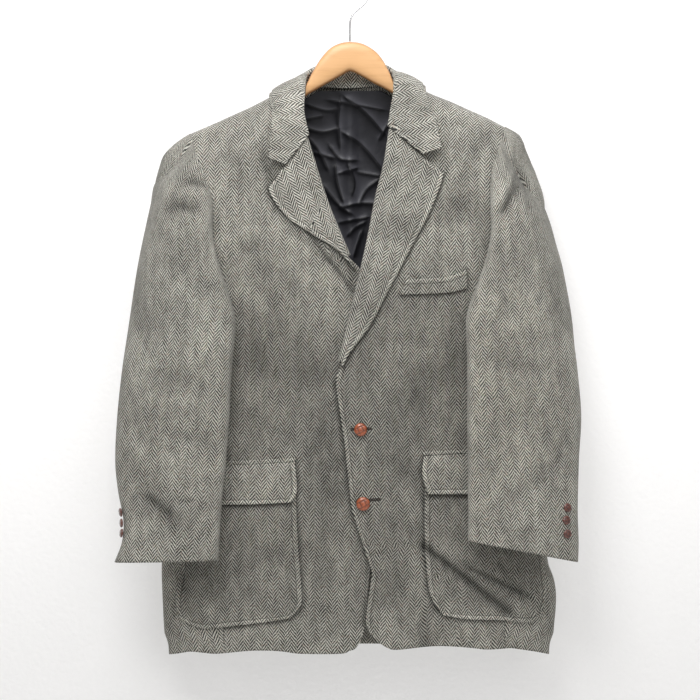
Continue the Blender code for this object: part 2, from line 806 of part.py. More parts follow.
def armhole_line(side):
    """The armhole all round as points on the body form, from the shoulder by the front and back."""
    front = Line(*reversed(ARMHOLE_FRONT[side]))
    back = Line(*ARMHOLE_BACK[side])
    ridge = Vector((front.at(0).x, 0, SHOULDER.read(front.at(0).x, "z")))
    points = [ridge] + [on_body(*front.at(t), FRONT) for t in steps(12)[1:]]
    points += [underarm_point(side, u, underarm_height(side, u)) for u in steps(6)[1:-1]]
    points += [on_body(*back.at(t), BACK) for t in steps(12)[:-1]] + [ridge]
    return Line(*points)


def ring_point(side, down, ring):
    """A point of the tube under the armhole; ring is 0 at the inner fold, 270 in front and 90 behind."""
    in_x, in_y, in_z, out_x, out_y, out_z, half = SLEEVE[side].row(down)
    inner, outer = Vector((in_x, in_y, in_z)), Vector((out_x, out_y, out_z))
    middle, arm = (inner + outer) / 2, (inner - outer) / 2
    turn = math.radians(ring)
    c, s = math.cos(turn), math.sin(turn)
    along = math.copysign(abs(c) ** (2 / SLEEVE_POWER), c)
    across = math.copysign(abs(s) ** (2 / SLEEVE_POWER), s)
    deep = Vector((-arm.y, arm.x, 0)).normalized()
    if deep.y < 0:
        deep = -deep
    return middle + arm * along + deep * (half * across)


def make_sleeve(side, material):
    """Top and under sleeve: from the armhole out over its head, then down a flattened tube."""
    sign = side_sign(side)
    hole = armhole_line(side)
    length = SLEEVE[side].rows[-1][0]

    def point(turn, v):
        part = turn % 360
        ring, away, forward, up, pull = SLEEVE_RUN.row(part)
        lag = UNDER_LAG * math.sin(math.pi * min(max((ring - 380) / 150, 0), 1)) ** 2
        if v >= HEAD_SHARE:
            share = (v - HEAD_SHARE) / (1 - HEAD_SHARE)
            p = ring_point(side, lag + share * (length - lag), ring)
            return clear_of_body(p, SLEEVE_CLEAR.read(p.z, "gap"))
        start = hole.at(part / 360)
        start = start + normal_at(start) * (WALL + HEAD_LIFT)
        end = ring_point(side, lag, ring)
        span = (end - start).length
        leave = Vector((sign * away * HEAD_REACH[side], -forward, up)).normalized() * span * pull
        arrive = (ring_point(side, lag + 10, ring) - end).normalized() * span
        t = v / HEAD_SHARE
        p = (
            start * (2 * t**3 - 3 * t**2 + 1)
            + leave * (t**3 - 2 * t**2 + t)
            + end * (3 * t**2 - 2 * t**3)
            + arrive * (t**3 - t**2)
        )
        lay = LAY_GAP + (WALL + HEAD_LIFT - LAY_GAP) * (1 - smooth(t / 0.3))
        lay += UNDERARM_ROOM * max(math.sin(math.pi * (part - 125) / 110), 0) * smooth(t / 0.2)
        return clear_of_body(p, max(lay, SLEEVE_CLEAR.read(p.z, "gap")))

    def grid(before, turns, after):
        rows = steps(HEAD_ROWS, 0, HEAD_SHARE) + steps(9, HEAD_SHARE, 1)[1:]
        laid = [[point(turn, v) for turn in (before, *turns, after)] for v in rows]
        outer, inner = [], []
        for i, row in enumerate(laid):
            outer.append([])
            inner.append([])
            for j in range(1, len(row) - 1):
                p = row[j]
                along = row[j + 1] - row[j - 1]
                down = laid[min(i + 1, len(laid) - 1)][j] - laid[max(i - 1, 0)][j]
                out = along.cross(down).normalized() * sign
                if j == 1:
                    p = p + along.normalized() * SLEEVE_SEAM / 2
                elif j == len(row) - 2:
                    p = p - along.normalized() * SLEEVE_SEAM / 2
                facing = smooth(-out.y * 2)
                p = p - out * fold_depth(f"sleeve_{side}", p.x, p.z) * facing
                outer[-1].append(p)
                inner[-1].append(p - out * WALL)
        return outer, inner

    top, under = TOP_SLEEVE, UNDER_SLEEVE
    add_wall(f"top_sleeve_{side}", *grid(under[-2] - 360, top, under[1]), material)
    add_wall(f"under_sleeve_{side}", *grid(top[-2], under, top[1] + 360), material)


# ---------------------------------------------------------------- pockets and lining

# The patch pockets: their inner edge from the top down, the bottom outwards, the outer edge down.
POCKET = {
    "left": {
        "inner": [(103, -700), (102.8, -784), (106, -834), (109, -858), (118, -878.5), (129, -891.5)],
        "bottom": [(129, -891.5), (162, -897), (206, -899), (232, -903), (252, -903), (264, -893)],
        "outer": [(260, -700), (262, -760), (266, -820), (271, -860), (264, -893)],
    },
    "right": {
        "inner": [(-75, -700), (-74, -745), (-71, -804.5), (-67, -853), (-68, -879), (-82.8, -895.6)],
        "bottom": [(-82.8, -895.6), (-109, -900), (-170, -908), (-208, -912), (-234.6, -900)],
        "outer": [(-233, -700), (-232, -760), (-233, -820), (-240, -870), (-234.6, -900)],
    },
}
FLAP = {
    "left": {
        "top": [(101.7, -672), (157, -669.3), (250, -667.3)],
        "inner": [(101.7, -672), (99, -697), (107.6, -724.5)],
        "bottom": [(107.6, -724.5), (160, -724.5), (250, -724.5)],
        "outer": [(250, -667.3), (252, -700), (250, -724.5)],
    },
    "right": {
        "top": [(-76, -680.3), (-168, -685.3), (-232, -685.3)],
        "inner": [(-76, -680.3), (-73, -720), (-81.8, -736)],
        "bottom": [(-81.8, -736), (-150, -739), (-232, -739)],
        "outer": [(-232, -685.3), (-235, -715), (-232, -739)],
    },
}
FLAP_WELT = {
    "left": [(100.7, -666), (157, -663.5), (250, -661.5)],
    "right": [(-75, -674.5), (-168, -679.5), (-232, -679.5)],
}
FLAP_WELT_HEIGHT = 5.4
CHEST_WELT = {
    "top": [(76.6, -429), (132.5, -425), (160, -415.5)],
    "bottom": [(68.6, -449.5), (132.5, -447), (161, -441)],
}
LAID_WALL = 2.0  # a pocket, flap or welt
POCKET_GAP = {"left": 1.8, "right": 0.9}  # behind a pocket, for what it holds
POCKET_FULLNESS = 1.5  # how far the middle of a pocket stands out more than its edges


def laid_lift(side, over):
    """The height above a front of the outer face of a piece that lies a height over it."""

    def lift(x, z, u, v):
        return front_lift(side, x, z) + over(u, v)

    return lift


def make_pocket(side, material):
    edges = POCKET[side]
    top = [edges["inner"][0], edges["outer"][0]]
    patch = coons(
        Line(*edges["bottom"]), Line(*top), Line(*reversed(edges["inner"])), Line(*reversed(edges["outer"]))
    )
    base = POCKET_GAP[side] + LAID_WALL

    def over(u, v):
        return base + POCKET_FULLNESS * math.sin(math.pi * u) * math.sin(math.pi * min(v * 1.2, 1.0))

    us = [0, 0.03, 0.1, 0.22, 0.36, 0.5, 0.64, 0.78, 0.88, 0.95, 1]
    vs = [0, 0.03, 0.1, 0.22, 0.36, 0.5, 0.64, 0.82, 1]
    lift = laid_lift(side, over)
    return wall_on_body(f"pocket_{side}", patch, us, vs, material, lift, wall=LAID_WALL)


def make_flap(side, material):
    edges = FLAP[side]
    patch = coons(
        Line(*edges["bottom"]), Line(*edges["top"]), Line(*reversed(edges["inner"])),
        Line(*reversed(edges["outer"])),
    )

    def over(u, v):
        base = POCKET_GAP[side] + LAID_WALL
        on_pocket = base + POCKET_FULLNESS * 0.6 * math.sin(math.pi * u)
        return base + on_pocket * smooth((1 - v) * 2.6)

    us = [0, 0.03, 0.09, 0.2, 0.33, 0.47, 0.6, 0.72, 0.82, 0.9, 1]
    lift = laid_lift(side, over)
    return wall_on_body(f"flap_{side}", patch, us, steps(7), material, lift, wall=LAID_WALL)


def make_flap_welt(side, material):
    top = FLAP_WELT[side]
    low = [(x, z - FLAP_WELT_HEIGHT) for x, z in top]
    patch = coons(Line(*low), Line(*top), Line(low[0], top[0]), Line(low[-1], top[-1]))
    lift = laid_lift(side, lambda u, v: LAY_GAP + LAID_WALL)
    return wall_on_body(f"flap_welt_{side}", patch, steps(12), steps(2), material, lift, wall=LAID_WALL)


def make_chest_welt(material):
    top, low = CHEST_WELT["top"], CHEST_WELT["bottom"]
    patch = coons(Line(*low), Line(*top), Line(low[0], top[0]), Line(low[-1], top[-1]))
    lift = laid_lift("left", lambda u, v: LAY_GAP + LAID_WALL)
    return wall_on_body("chest_welt", patch, steps(8), steps(3), material, lift, wall=LAID_WALL)


LINING_ROWS = [(-480, 112), (-400, 112), (-320, 110), (-240, 102), (-190, 80), (-173, 62), (-161.5, 44)]
LINING_PLEAT = 5.0
LINING_GAP = 1.0  # behind it, to the back's wall


def make_lining(material):
    """The lining of the back, where it shows in the open neck, with a pleat down its middle."""
    edge = Line(*[(x, z) for z, x in LINING_ROWS])

    def point(u, v):
        x, z = edge.at(v)
        return x * (2 * u - 1), z

    def lift(x, z, u, v):
        pleat = LINING_PLEAT * math.exp(-((x / 9) ** 2))
        return -(WALL + LINING_GAP + pleat * smooth((-150 - z) / 60))

    us = [0, 0.15, 0.3, 0.42, 0.46, 0.5, 0.54, 0.58, 0.7, 0.85, 1]
    return wall_on_body("lining_back", point, us, steps(10), material, lift, LINING_WALL, BACK)


# ---------------------------------------------------------------- buttons


def lathe(bm, base, out, profile, count):
    """Turns a profile of (radius, height) pairs, which starts and ends on the axis, round out."""
    across = out.orthogonal().normalized()
    other = out.cross(across)
    ends = [bm.verts.new(base + out * profile[0][1]), bm.verts.new(base + out * profile[-1][1])]
    rings = []
    for radius, height in profile[1:-1]:
        rings.append([])
        for i in range(count):
            turn = math.tau * i / count
            spoke = across * math.cos(turn) + other * math.sin(turn)
            rings[-1].append(bm.verts.new(base + out * height + spoke * radius))
    for i in range(count):
        j = (i + 1) % count
        bm.faces.new([ends[0], rings[0][j], rings[0][i]])
        bm.faces.new([ends[1], rings[-1][i], rings[-1][j]])
        for low, high in zip(rings, rings[1:]):
            bm.faces.new([low[i], low[j], high[j], high[i]])


def button_profile(radius, thick):
    """A leather button: flat behind, full at its edge and domed in front."""
    return [
        (0, 0), (radius * 0.6, 0), (radius * 0.93, thick * 0.16), (radius, thick * 0.4),
        (radius * 0.93, thick * 0.66), (radius * 0.6, thick * 0.92), (0, thick),
    ]


FRONT_BUTTONS = {"button_upper": (14.5, -635.4, 9.0), "button_lower": (18.0, -737.6, 9.5)}
FRONT_BUTTON_THICK = 7.0
BUTTON_GAP = 0.5


def make_front_button(name, x, z, radius, material):
    base = on_body(x, z, FRONT)
    out = normal_at(base)
    start = base + out * (front_lift("left", x, z) + BUTTON_GAP)
    bm = bmesh.new()
    lathe(bm, start, out, button_profile(radius, FRONT_BUTTON_THICK), 12)
    return add_mesh(name, bm, material)


# The cuff buttons by sleeve: height, the way they face in x and y, and the gap behind them.
CUFF_BUTTONS = {
    "left": [(-742.0, 0.45, -0.89, 0.3), (-759.0, 0.42, -0.91, 0.3), (-777.8, 0.42, -0.91, 0.3)],
    "right": [(-748.6, -0.96, -0.28, 0.9), (-763.4, -0.96, -0.28, 1.5), (-777.4, -0.96, -0.28, 0.9)],
}
CUFF_BUTTON_RADIUS = 6.2
CUFF_BUTTON_THICK = 4.0


def sleeve_spot(side, z, facing):
    """The place of the sleeve at a height that lies farthest the way it faces, and its way out."""
    best = None
    for ring in steps(120, 180, 300):
        low, high = 0.0, SLEEVE[side].rows[-1][0]
        for _ in range(24):
            middle = (low + high) / 2
            if ring_point(side, middle, ring).z > z:
                low = middle
            else:
                high = middle
        p = ring_point(side, low, ring)
        reach = p.x * facing.x + p.y * facing.y
        if best is None or reach > best[0]:
            best = (reach, p, low, ring)
    _, p, down, ring = best
    along = ring_point(side, down, ring + 2) - ring_point(side, down, ring - 2)
    below = ring_point(side, down + 4, ring) - ring_point(side, down - 4, ring)
    return p, along.cross(below).normalized() * side_sign(side)


def make_cuff_buttons(side, material):
    for i, (z, face_x, face_y, gap) in enumerate(CUFF_BUTTONS[side]):
        spot, out = sleeve_spot(side, z, Vector((face_x, face_y, 0)).normalized())
        bm = bmesh.new()
        profile = button_profile(CUFF_BUTTON_RADIUS, CUFF_BUTTON_THICK)
        lathe(bm, spot + out * gap, out, profile, 10)
        add_mesh(f"cuff_button_{side}_{i + 1}", bm, material)


# ---------------------------------------------------------------- hanger

# Across the hanger: its top and bottom, and half its depth.
HANGER = Table(
    "x top bottom half",
    (-205, -224.5, -235.5, 6.0),
    (-190, -215.6, -230.6, 8.5),
    (-160, -202, -218, 10.0),
    (-130, -190.5, -207.5, 10.5),
    (-100, -180, -196.5, 11.0),
    (-75, -170, -184.5, 10.0),
    (-62, -157.5, -173, 9.4),
    (-52.4, -139, -167, 9.6),
    (-40, -119, -160, 10.4),
    (-27.6, -105.5, -153, 11.0),
    (-14, -98.5, -145.5, 11.0),
    (0, -96.6, -138.5, 11.0),
    (17, -99, -146, 11.0),
    (34.5, -109, -156, 11.0),
    (45, -121, -161, 10.2),
    (54, -137, -166, 9.6),
    (62, -154.5, -171, 9.4),
    (75, -166.5, -181.5, 10.0),
    (100, -175, -191.5, 11.0),
    (130, -184, -201, 10.5),
    (160, -194, -210, 10.0),
    (190, -207.2, -222.2, 8.5),
    (205, -215, -226, 6.0),
)
HANGER_SIDES = 12
HANGER_POWER = 2.3


def make_hanger(material):
    """The wooden hanger: an arched middle and two arms under the shoulders."""
    bm = bmesh.new()
    rings = []
    for x, top, bottom, half in HANGER.rows:
        middle, high = (top + bottom) / 2, (top - bottom) / 2
        rings.append([])
        for i in range(HANGER_SIDES):
            turn = math.tau * i / HANGER_SIDES
            c, s = math.cos(turn), math.sin(turn)
            y = math.copysign(abs(c) ** (2 / HANGER_POWER), c) * half
            z = math.copysign(abs(s) ** (2 / HANGER_POWER), s) * high
            rings[-1].append(bm.verts.new((x, y, middle + z)))
    for low, high in zip(rings, rings[1:]):
        for i in range(HANGER_SIDES):
            j = (i + 1) % HANGER_SIDES
            bm.faces.new([low[i], low[j], high[j], high[i]])
    bm.faces.new(rings[0])
    bm.faces.new(list(reversed(rings[-1])))
    return add_mesh("hanger_body", bm, material)


HOOK_WIRE = 1.5  # the radius of the wire
HOOK_RADIUS = 27.0
HOOK_CENTRE = -25.5
HOOK_SIDES = 6
HOOK_STEM = [(0, -96.2), (0, -88), (0, -78), (0.5, -68), (3.5, -59.5), (10, -52.8)]


def make_hook(material):
    """A round wire up from the hanger, then round in a hook that is open on one side."""
    points = [Vector((x, 0, z)) for x, z in HOOK_STEM]
    for turn in steps(18, -48, 204):
        angle = math.radians(turn)
        points.append(Vector((HOOK_RADIUS * math.cos(angle), 0, HOOK_CENTRE + HOOK_RADIUS * math.sin(angle))))
    bm = bmesh.new()
    rings = []
    for i, p in enumerate(points):
        along = (points[min(i + 1, len(points) - 1)] - points[max(i - 1, 0)]).normalized()
        side = Vector((0, 1, 0)).cross(along)
        rings.append([])
        for k in range(HOOK_SIDES):
            turn = math.tau * k / HOOK_SIDES
            spoke = side * math.cos(turn) + Vector((0, math.sin(turn), 0))
            rings[-1].append(bm.verts.new(p + spoke * HOOK_WIRE))
    for low, high in zip(rings, rings[1:]):
        for i in range(HOOK_SIDES):
            j = (i + 1) % HOOK_SIDES
            bm.faces.new([low[i], low[j], high[j], high[i]])
    bm.faces.new(rings[0])
    bm.faces.new(list(reversed(rings[-1])))
    return add_mesh("hanger_hook", bm, material)


# ---------------------------------------------------------------- the whole jacket


def main():
    for old in list(bpy.data.objects):
        bpy.data.objects.remove(old)
    tweed = cloth("tweed", (0.24, 0.23, 0.2))
    lining = cloth("lining satin", (0.02, 0.02, 0.022), 0.35)
    leather = cloth("leather", (0.42, 0.12, 0.04), 0.45)
    cuff_leather = cloth("cuff leather", (0.25, 0.07, 0.035), 0.45)
    wood = cloth("wood", (0.72, 0.48, 0.3), 0.5)
    wire = metal("hook wire", (0.75, 0.74, 0.72), 0.25)
    make_hanger(wood)
    make_hook(wire)
    for side in ("left", "right"):
        make_front(side, tweed)
        make_back(side, tweed)
        make_side(side, tweed)
        make_lapel(side, tweed)
        make_sleeve(side, tweed)
        make_pocket(side, tweed)
        make_flap(side, tweed)
        make_flap_welt(side, tweed)
        make_cuff_buttons(side, cuff_leather)
    make_collar(tweed)
    make_chest_welt(tweed)
    make_lining(lining)
    for name, (x, z, radius) in FRONT_BUTTONS.items():
        make_front_button(name, x, z, radius, leather)


main()
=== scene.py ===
"""Looks of a tweed hacking jacket that hangs on a wooden hanger.

Each piece of cloth is a thin closed shell on the form of its solid, with finer creases, turned edges
and its own weave coordinates. Lengths are in millimetres until a mesh is made. The origin is the inside
top of the hook, +Z is up, the front faces -Y, and left and right are the wearer's.
"""

from __future__ import annotations

import logging
import math
from dataclasses import dataclass
from enum import Enum
from typing import Sequence

import bmesh
import bpy
import numpy as np
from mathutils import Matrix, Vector

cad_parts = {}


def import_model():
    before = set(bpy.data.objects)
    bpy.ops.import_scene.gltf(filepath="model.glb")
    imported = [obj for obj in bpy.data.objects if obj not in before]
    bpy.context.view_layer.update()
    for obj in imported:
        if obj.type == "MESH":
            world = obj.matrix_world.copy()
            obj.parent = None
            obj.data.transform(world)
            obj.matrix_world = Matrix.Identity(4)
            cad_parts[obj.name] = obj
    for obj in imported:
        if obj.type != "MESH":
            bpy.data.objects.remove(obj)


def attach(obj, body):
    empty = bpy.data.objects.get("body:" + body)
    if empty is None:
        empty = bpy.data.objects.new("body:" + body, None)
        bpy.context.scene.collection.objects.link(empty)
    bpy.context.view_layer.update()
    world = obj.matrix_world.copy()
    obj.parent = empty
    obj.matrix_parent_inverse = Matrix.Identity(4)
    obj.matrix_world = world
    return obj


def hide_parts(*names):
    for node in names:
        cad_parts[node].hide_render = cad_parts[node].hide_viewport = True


log = logging.getLogger("jacket")

MM = 0.001
WALL = 2.2
FACING_WALL = 2.4
LAID_WALL = 2.0
LINING_WALL = 1.0
LAY_GAP = 0.7
NO_EDGE = 99.0  # the distance to a stitched edge where there is none
LOOK = "look "  # before the names of materials
EDGE_WIDTH = 6.2  # of the swell along a stitched edge

Array = np.ndarray
Point2 = tuple[float, float]


class Side(Enum):
    """The wearer's sides."""

    LEFT = "left"
    RIGHT = "right"

    @property
    def sign(self) -> int:
        """+1 on the left, where x rises, and -1 on the right."""
        return 1 if self is Side.LEFT else -1


class Facing(Enum):
    """The front and back of the body form, as the sign of y."""

    FRONT = -1
    BACK = 1


# ---------------------------------------------------------------- smooth tables and lines


class Table:
    """Rows of named columns, the first one rising, read smoothly between the rows."""

    def __init__(self, columns: str, *rows: Sequence[float]) -> None:
        self.names = columns.split()
        self.rows = np.array(sorted(rows), dtype=float)
        keys = self.rows[:, 0]
        slopes = np.empty_like(self.rows)
        slopes[1:-1] = (self.rows[2:] - self.rows[:-2]) / (keys[2:] - keys[:-2])[:, None]
        slopes[0] = (self.rows[1] - self.rows[0]) / (keys[1] - keys[0])
        slopes[-1] = (self.rows[-1] - self.rows[-2]) / (keys[-1] - keys[-2])
        self.slopes = slopes

    def read(self, key: Array | float, name: str) -> Array:
        """The named column at each key."""
        column, keys = self.names.index(name), self.rows[:, 0]
        key = np.clip(np.asarray(key, dtype=float), keys[0], keys[-1])
        i = np.clip(np.searchsorted(keys, key) - 1, 0, len(keys) - 2)
        run = keys[i + 1] - keys[i]
        t = (key - keys[i]) / run
        values, slopes = self.rows[:, column], self.slopes[:, column]
        return hermite(values[i], slopes[i] * run, values[i + 1], slopes[i + 1] * run, t)


def hermite(start: Array, leave: Array, end: Array, arrive: Array, t: Array) -> Array:
    """The cubic from start to end with the given tangents."""
    return (
        (2 * t**3 - 3 * t**2 + 1) * start
        + (t**3 - 2 * t**2 + t) * leave
        + (3 * t**2 - 2 * t**3) * end
        + (t**3 - t**2) * arrive
    )


class Line:
    """A smooth line through points, read by its share of length."""

    STEPS = 16

    def __init__(self, points: Sequence[Sequence[float]]) -> None:
        p = np.array(points, dtype=float)
        p = np.vstack([2 * p[0] - p[1], p, 2 * p[-1] - p[-2]])
        t = (np.arange(1, self.STEPS + 1) / self.STEPS)[:, None]
        fine = [p[1:2]]
        for i in range(1, len(p) - 2):
            a, b, c, d = p[i - 1 : i + 3]
            fine.append(
                0.5
                * (
                    2 * b
                    + (c - a) * t
                    + (2 * a - 5 * b + 4 * c - d) * t**2
                    + (3 * b - a - 3 * c + d) * t**3
                )
            )
        self.fine = np.vstack(fine)
        steps = np.linalg.norm(np.diff(self.fine, axis=0), axis=1)
        self.reach = np.concatenate([[0.0], np.cumsum(steps)])

    @property
    def length(self) -> float:
        """How long the line is."""
        return float(self.reach[-1])

    def at(self, share: Array | float) -> Array:
        """The points at shares of the length from 0 to 1."""
        goal = np.clip(np.asarray(share, dtype=float), 0, 1) * self.length
        return np.stack([np.interp(goal, self.reach, c) for c in self.fine.T], axis=-1)


def smooth(t: Array | float) -> Array:
    """0 below 0, 1 above 1 and an even curve between them."""
    t = np.clip(t, 0.0, 1.0)
    return t * t * (3 - 2 * t)


def coons(bottom: Line, top: Line, inner: Line, outer: Line, u: Array, v: Array) -> Array:
    """Flat points of a four-sided patch.

    Args:
        bottom: The edge at v = 0, from inner to outer.
        top: The edge at v = 1.
        inner: The edge at u = 0, from the bottom up.
        outer: The edge at u = 1.
        u: Shares across, one for each column.
        v: Shares up, one for each row.

    Returns:
        Rows by columns of (x, z).
    """
    across, up = u[None, :, None], v[:, None, None]
    sides = inner.at(v)[:, None] * (1 - across) + outer.at(v)[:, None] * across
    ends = bottom.at(u)[None] * (1 - up) + top.at(u)[None] * up
    low = bottom.at(0.0) * (1 - across) + bottom.at(1.0) * across
    high = top.at(0.0) * (1 - across) + top.at(1.0) * across
    return sides + ends - (low * (1 - up) + high * up)


def unit(v: Array) -> Array:
    """Each vector at length 1."""
    return v / np.maximum(np.linalg.norm(v, axis=-1, keepdims=True), 1e-9)


def spaced(length: float, step: float, near: tuple[bool, bool] = (False, False)) -> Array:
    """Shares from 0 to 1 for a length in mm, with fine steps near the ends that carry a stitched edge."""
    close = np.array([0.0, 0.9, 1.8, 2.8, 3.8, 4.8, 5.6, 6.4, 7.2, 8.2, 10.0]) / length
    low = close if near[0] else np.zeros(1)
    high = 1 - close[::-1] if near[1] else np.ones(1)
    count = max(int((high[0] - low[-1]) * length / step), 2)
    return np.unique(np.concatenate([low, np.linspace(low[-1], high[0], count + 1), high]))


# ---------------------------------------------------------------- the body form

SECTION_POWER = 2.4
SHOULDER_DROP = 120.0

BODY = Table(
    "z left right front back",
    (-960, -257, 282, 41, 38),
    (-915, -259, 284, 44, 40),
    (-870, -261, 287, 46, 41),
    (-845, -262, 284, 46, 41),
    (-822, -262, 276, 46, 41),
    (-750, -257, 266, 46, 41),
    (-650, -253, 262, 46, 40),
    (-550, -253, 261, 48, 42),
    (-470, -253, 260, 51, 45),
    (-400, -256, 262, 54, 47),
    (-300, -264, 267, 54, 47),
    (-220, -276, 276, 50, 45),
    (-110, -285, 282, 46, 43),
)
SHOULDER = Table(
    "x z",
    (-300, -263), (-247, -238), (-222, -225.5), (-193, -212.5), (-165, -199.5), (-138, -187.5),
    (-110, -173.5), (-83, -159.5), (-62, -149.5), (0, -137), (62, -144), (83, -153.5), (110, -167.5),
    (138, -179), (165, -191.5), (193, -204), (216, -216), (240, -227), (290, -251),
)
ROLLED_EDGE = Table(
    "x crest crease height",
    (-112, -302, -306, 0.0),
    (-96, -332, -340, 1.0),
    (-81, -348, -362, 3.0),
    (-67, -357, -374, 6.0),
    (-52, -367, -388, 9.0),
    (-40, -374, -399, 10.5),
    (-28, -381, -408, 10.5),
    (-14, -391, -424, 9.0),
    (4, -404, -442, 5.0),
    (16, -420, -450, 1.5),
    (30, -450, -475, 0.0),
)
ROLL_FADE = 75.0


def section(x: Array, z: Array) -> tuple[Array, Array]:
    """How far across the form x is, from -1 to 1, and how far up the shoulder z is."""
    left, right = BODY.read(z, "left"), BODY.read(z, "right")
    across = (x - (left + right) / 2) / ((right - left) / 2)
    under = (SHOULDER.read(x, "z") - z) / SHOULDER_DROP
    return across, np.clip(under, -0.2, 1.0)


def depth_factor(x: Array, z: Array) -> Array:
    """The square of the form's depth at x and z, as a share of its full depth's."""
    across, under = section(x, z)
    return (1 - np.abs(across) ** SECTION_POWER) * (1 - (1 - under) ** 2)


def form(p: Array) -> Array:
    """Below 0 inside the body form, 0 on it and above 0 outside."""
    x, y, z = p[..., 0], p[..., 1], p[..., 2]
    deep = np.where(y < 0, BODY.read(z, "front"), BODY.read(z, "back"))
    return (y / deep) ** 2 - depth_factor(x, z)


def gradient(p: Array, step: float = 0.4) -> Array:
    """The steepest way out of the form at points."""
    parts = []
    for axis in range(3):
        move = np.zeros(3)
        move[axis] = step
        parts.append(form(p + move) - form(p - move))
    return np.stack(parts, axis=-1) / (2 * step)


def on_body(x: Array, z: Array, facing: Facing) -> Array:
    """The points of the body form at x and z on its front or back."""
    deep = BODY.read(z, "front" if facing is Facing.FRONT else "back")
    y = facing.value * deep * np.sqrt(np.maximum(depth_factor(x, z), 0.0))
    return np.stack([x, y, z], axis=-1)


def around_body(angle: Array, z: Array) -> Array:
    """The points of the form at heights: 0 degrees is its +X side and 90 the front."""
    left, right = BODY.read(z, "left"), BODY.read(z, "right")
    turn = np.radians(angle)
    c, s = np.cos(turn), np.sin(turn)
    x = (left + right) / 2 + np.copysign(np.abs(c) ** (2 / SECTION_POWER), c) * (right - left) / 2
    deep = np.where(s >= 0, -BODY.read(z, "front"), BODY.read(z, "back"))
    under = section(x, z)[1]
    rise = np.sqrt(np.maximum(1 - (1 - under) ** 2, 0.0))
    return np.stack([x, deep * np.abs(s) * rise, z], axis=-1)


def angle_at(x: Array, z: Array, facing: Facing) -> Array:
    """The angle around the form of the point at x on its front or back."""
    across = np.clip(section(x, z)[0], -1.0, 1.0)
    turn = np.degrees(np.arccos(np.copysign(np.abs(across) ** (SECTION_POWER / 2), across)))
    return turn if facing is Facing.FRONT else -turn


def clear_of_body(p: Array, lift: Array | float, rounds: int = 5) -> Array:
    """The points moved out where they are nearer to the body form than lift."""
    for _ in range(rounds):
        grad = gradient(p)
        steep = np.maximum(np.linalg.norm(grad, axis=-1), 1e-6)
        short = np.clip(lift - form(p) / steep, 0.0, 12.0)
        p = p + grad / steep[..., None] * short[..., None]
    return p


def rolled(x: Array, z: Array) -> Array:
    """How far the right front stands forward at its rolled lapel edge."""
    crest, crease, height = (ROLLED_EDGE.read(x, name) for name in ("crest", "crease", "height"))
    rise = np.clip((z - crease) / (crest - crease), 0.0, 1.0)
    above = height * (1 - smooth((z - crest) / ROLL_FADE))
    lifted = np.where(z >= crest, above, height * (1 - (1 - rise) ** 2))
    keys = ROLLED_EDGE.rows[:, 0]
    return np.where((x > keys[0]) & (x < keys[-1]), lifted, 0.0)


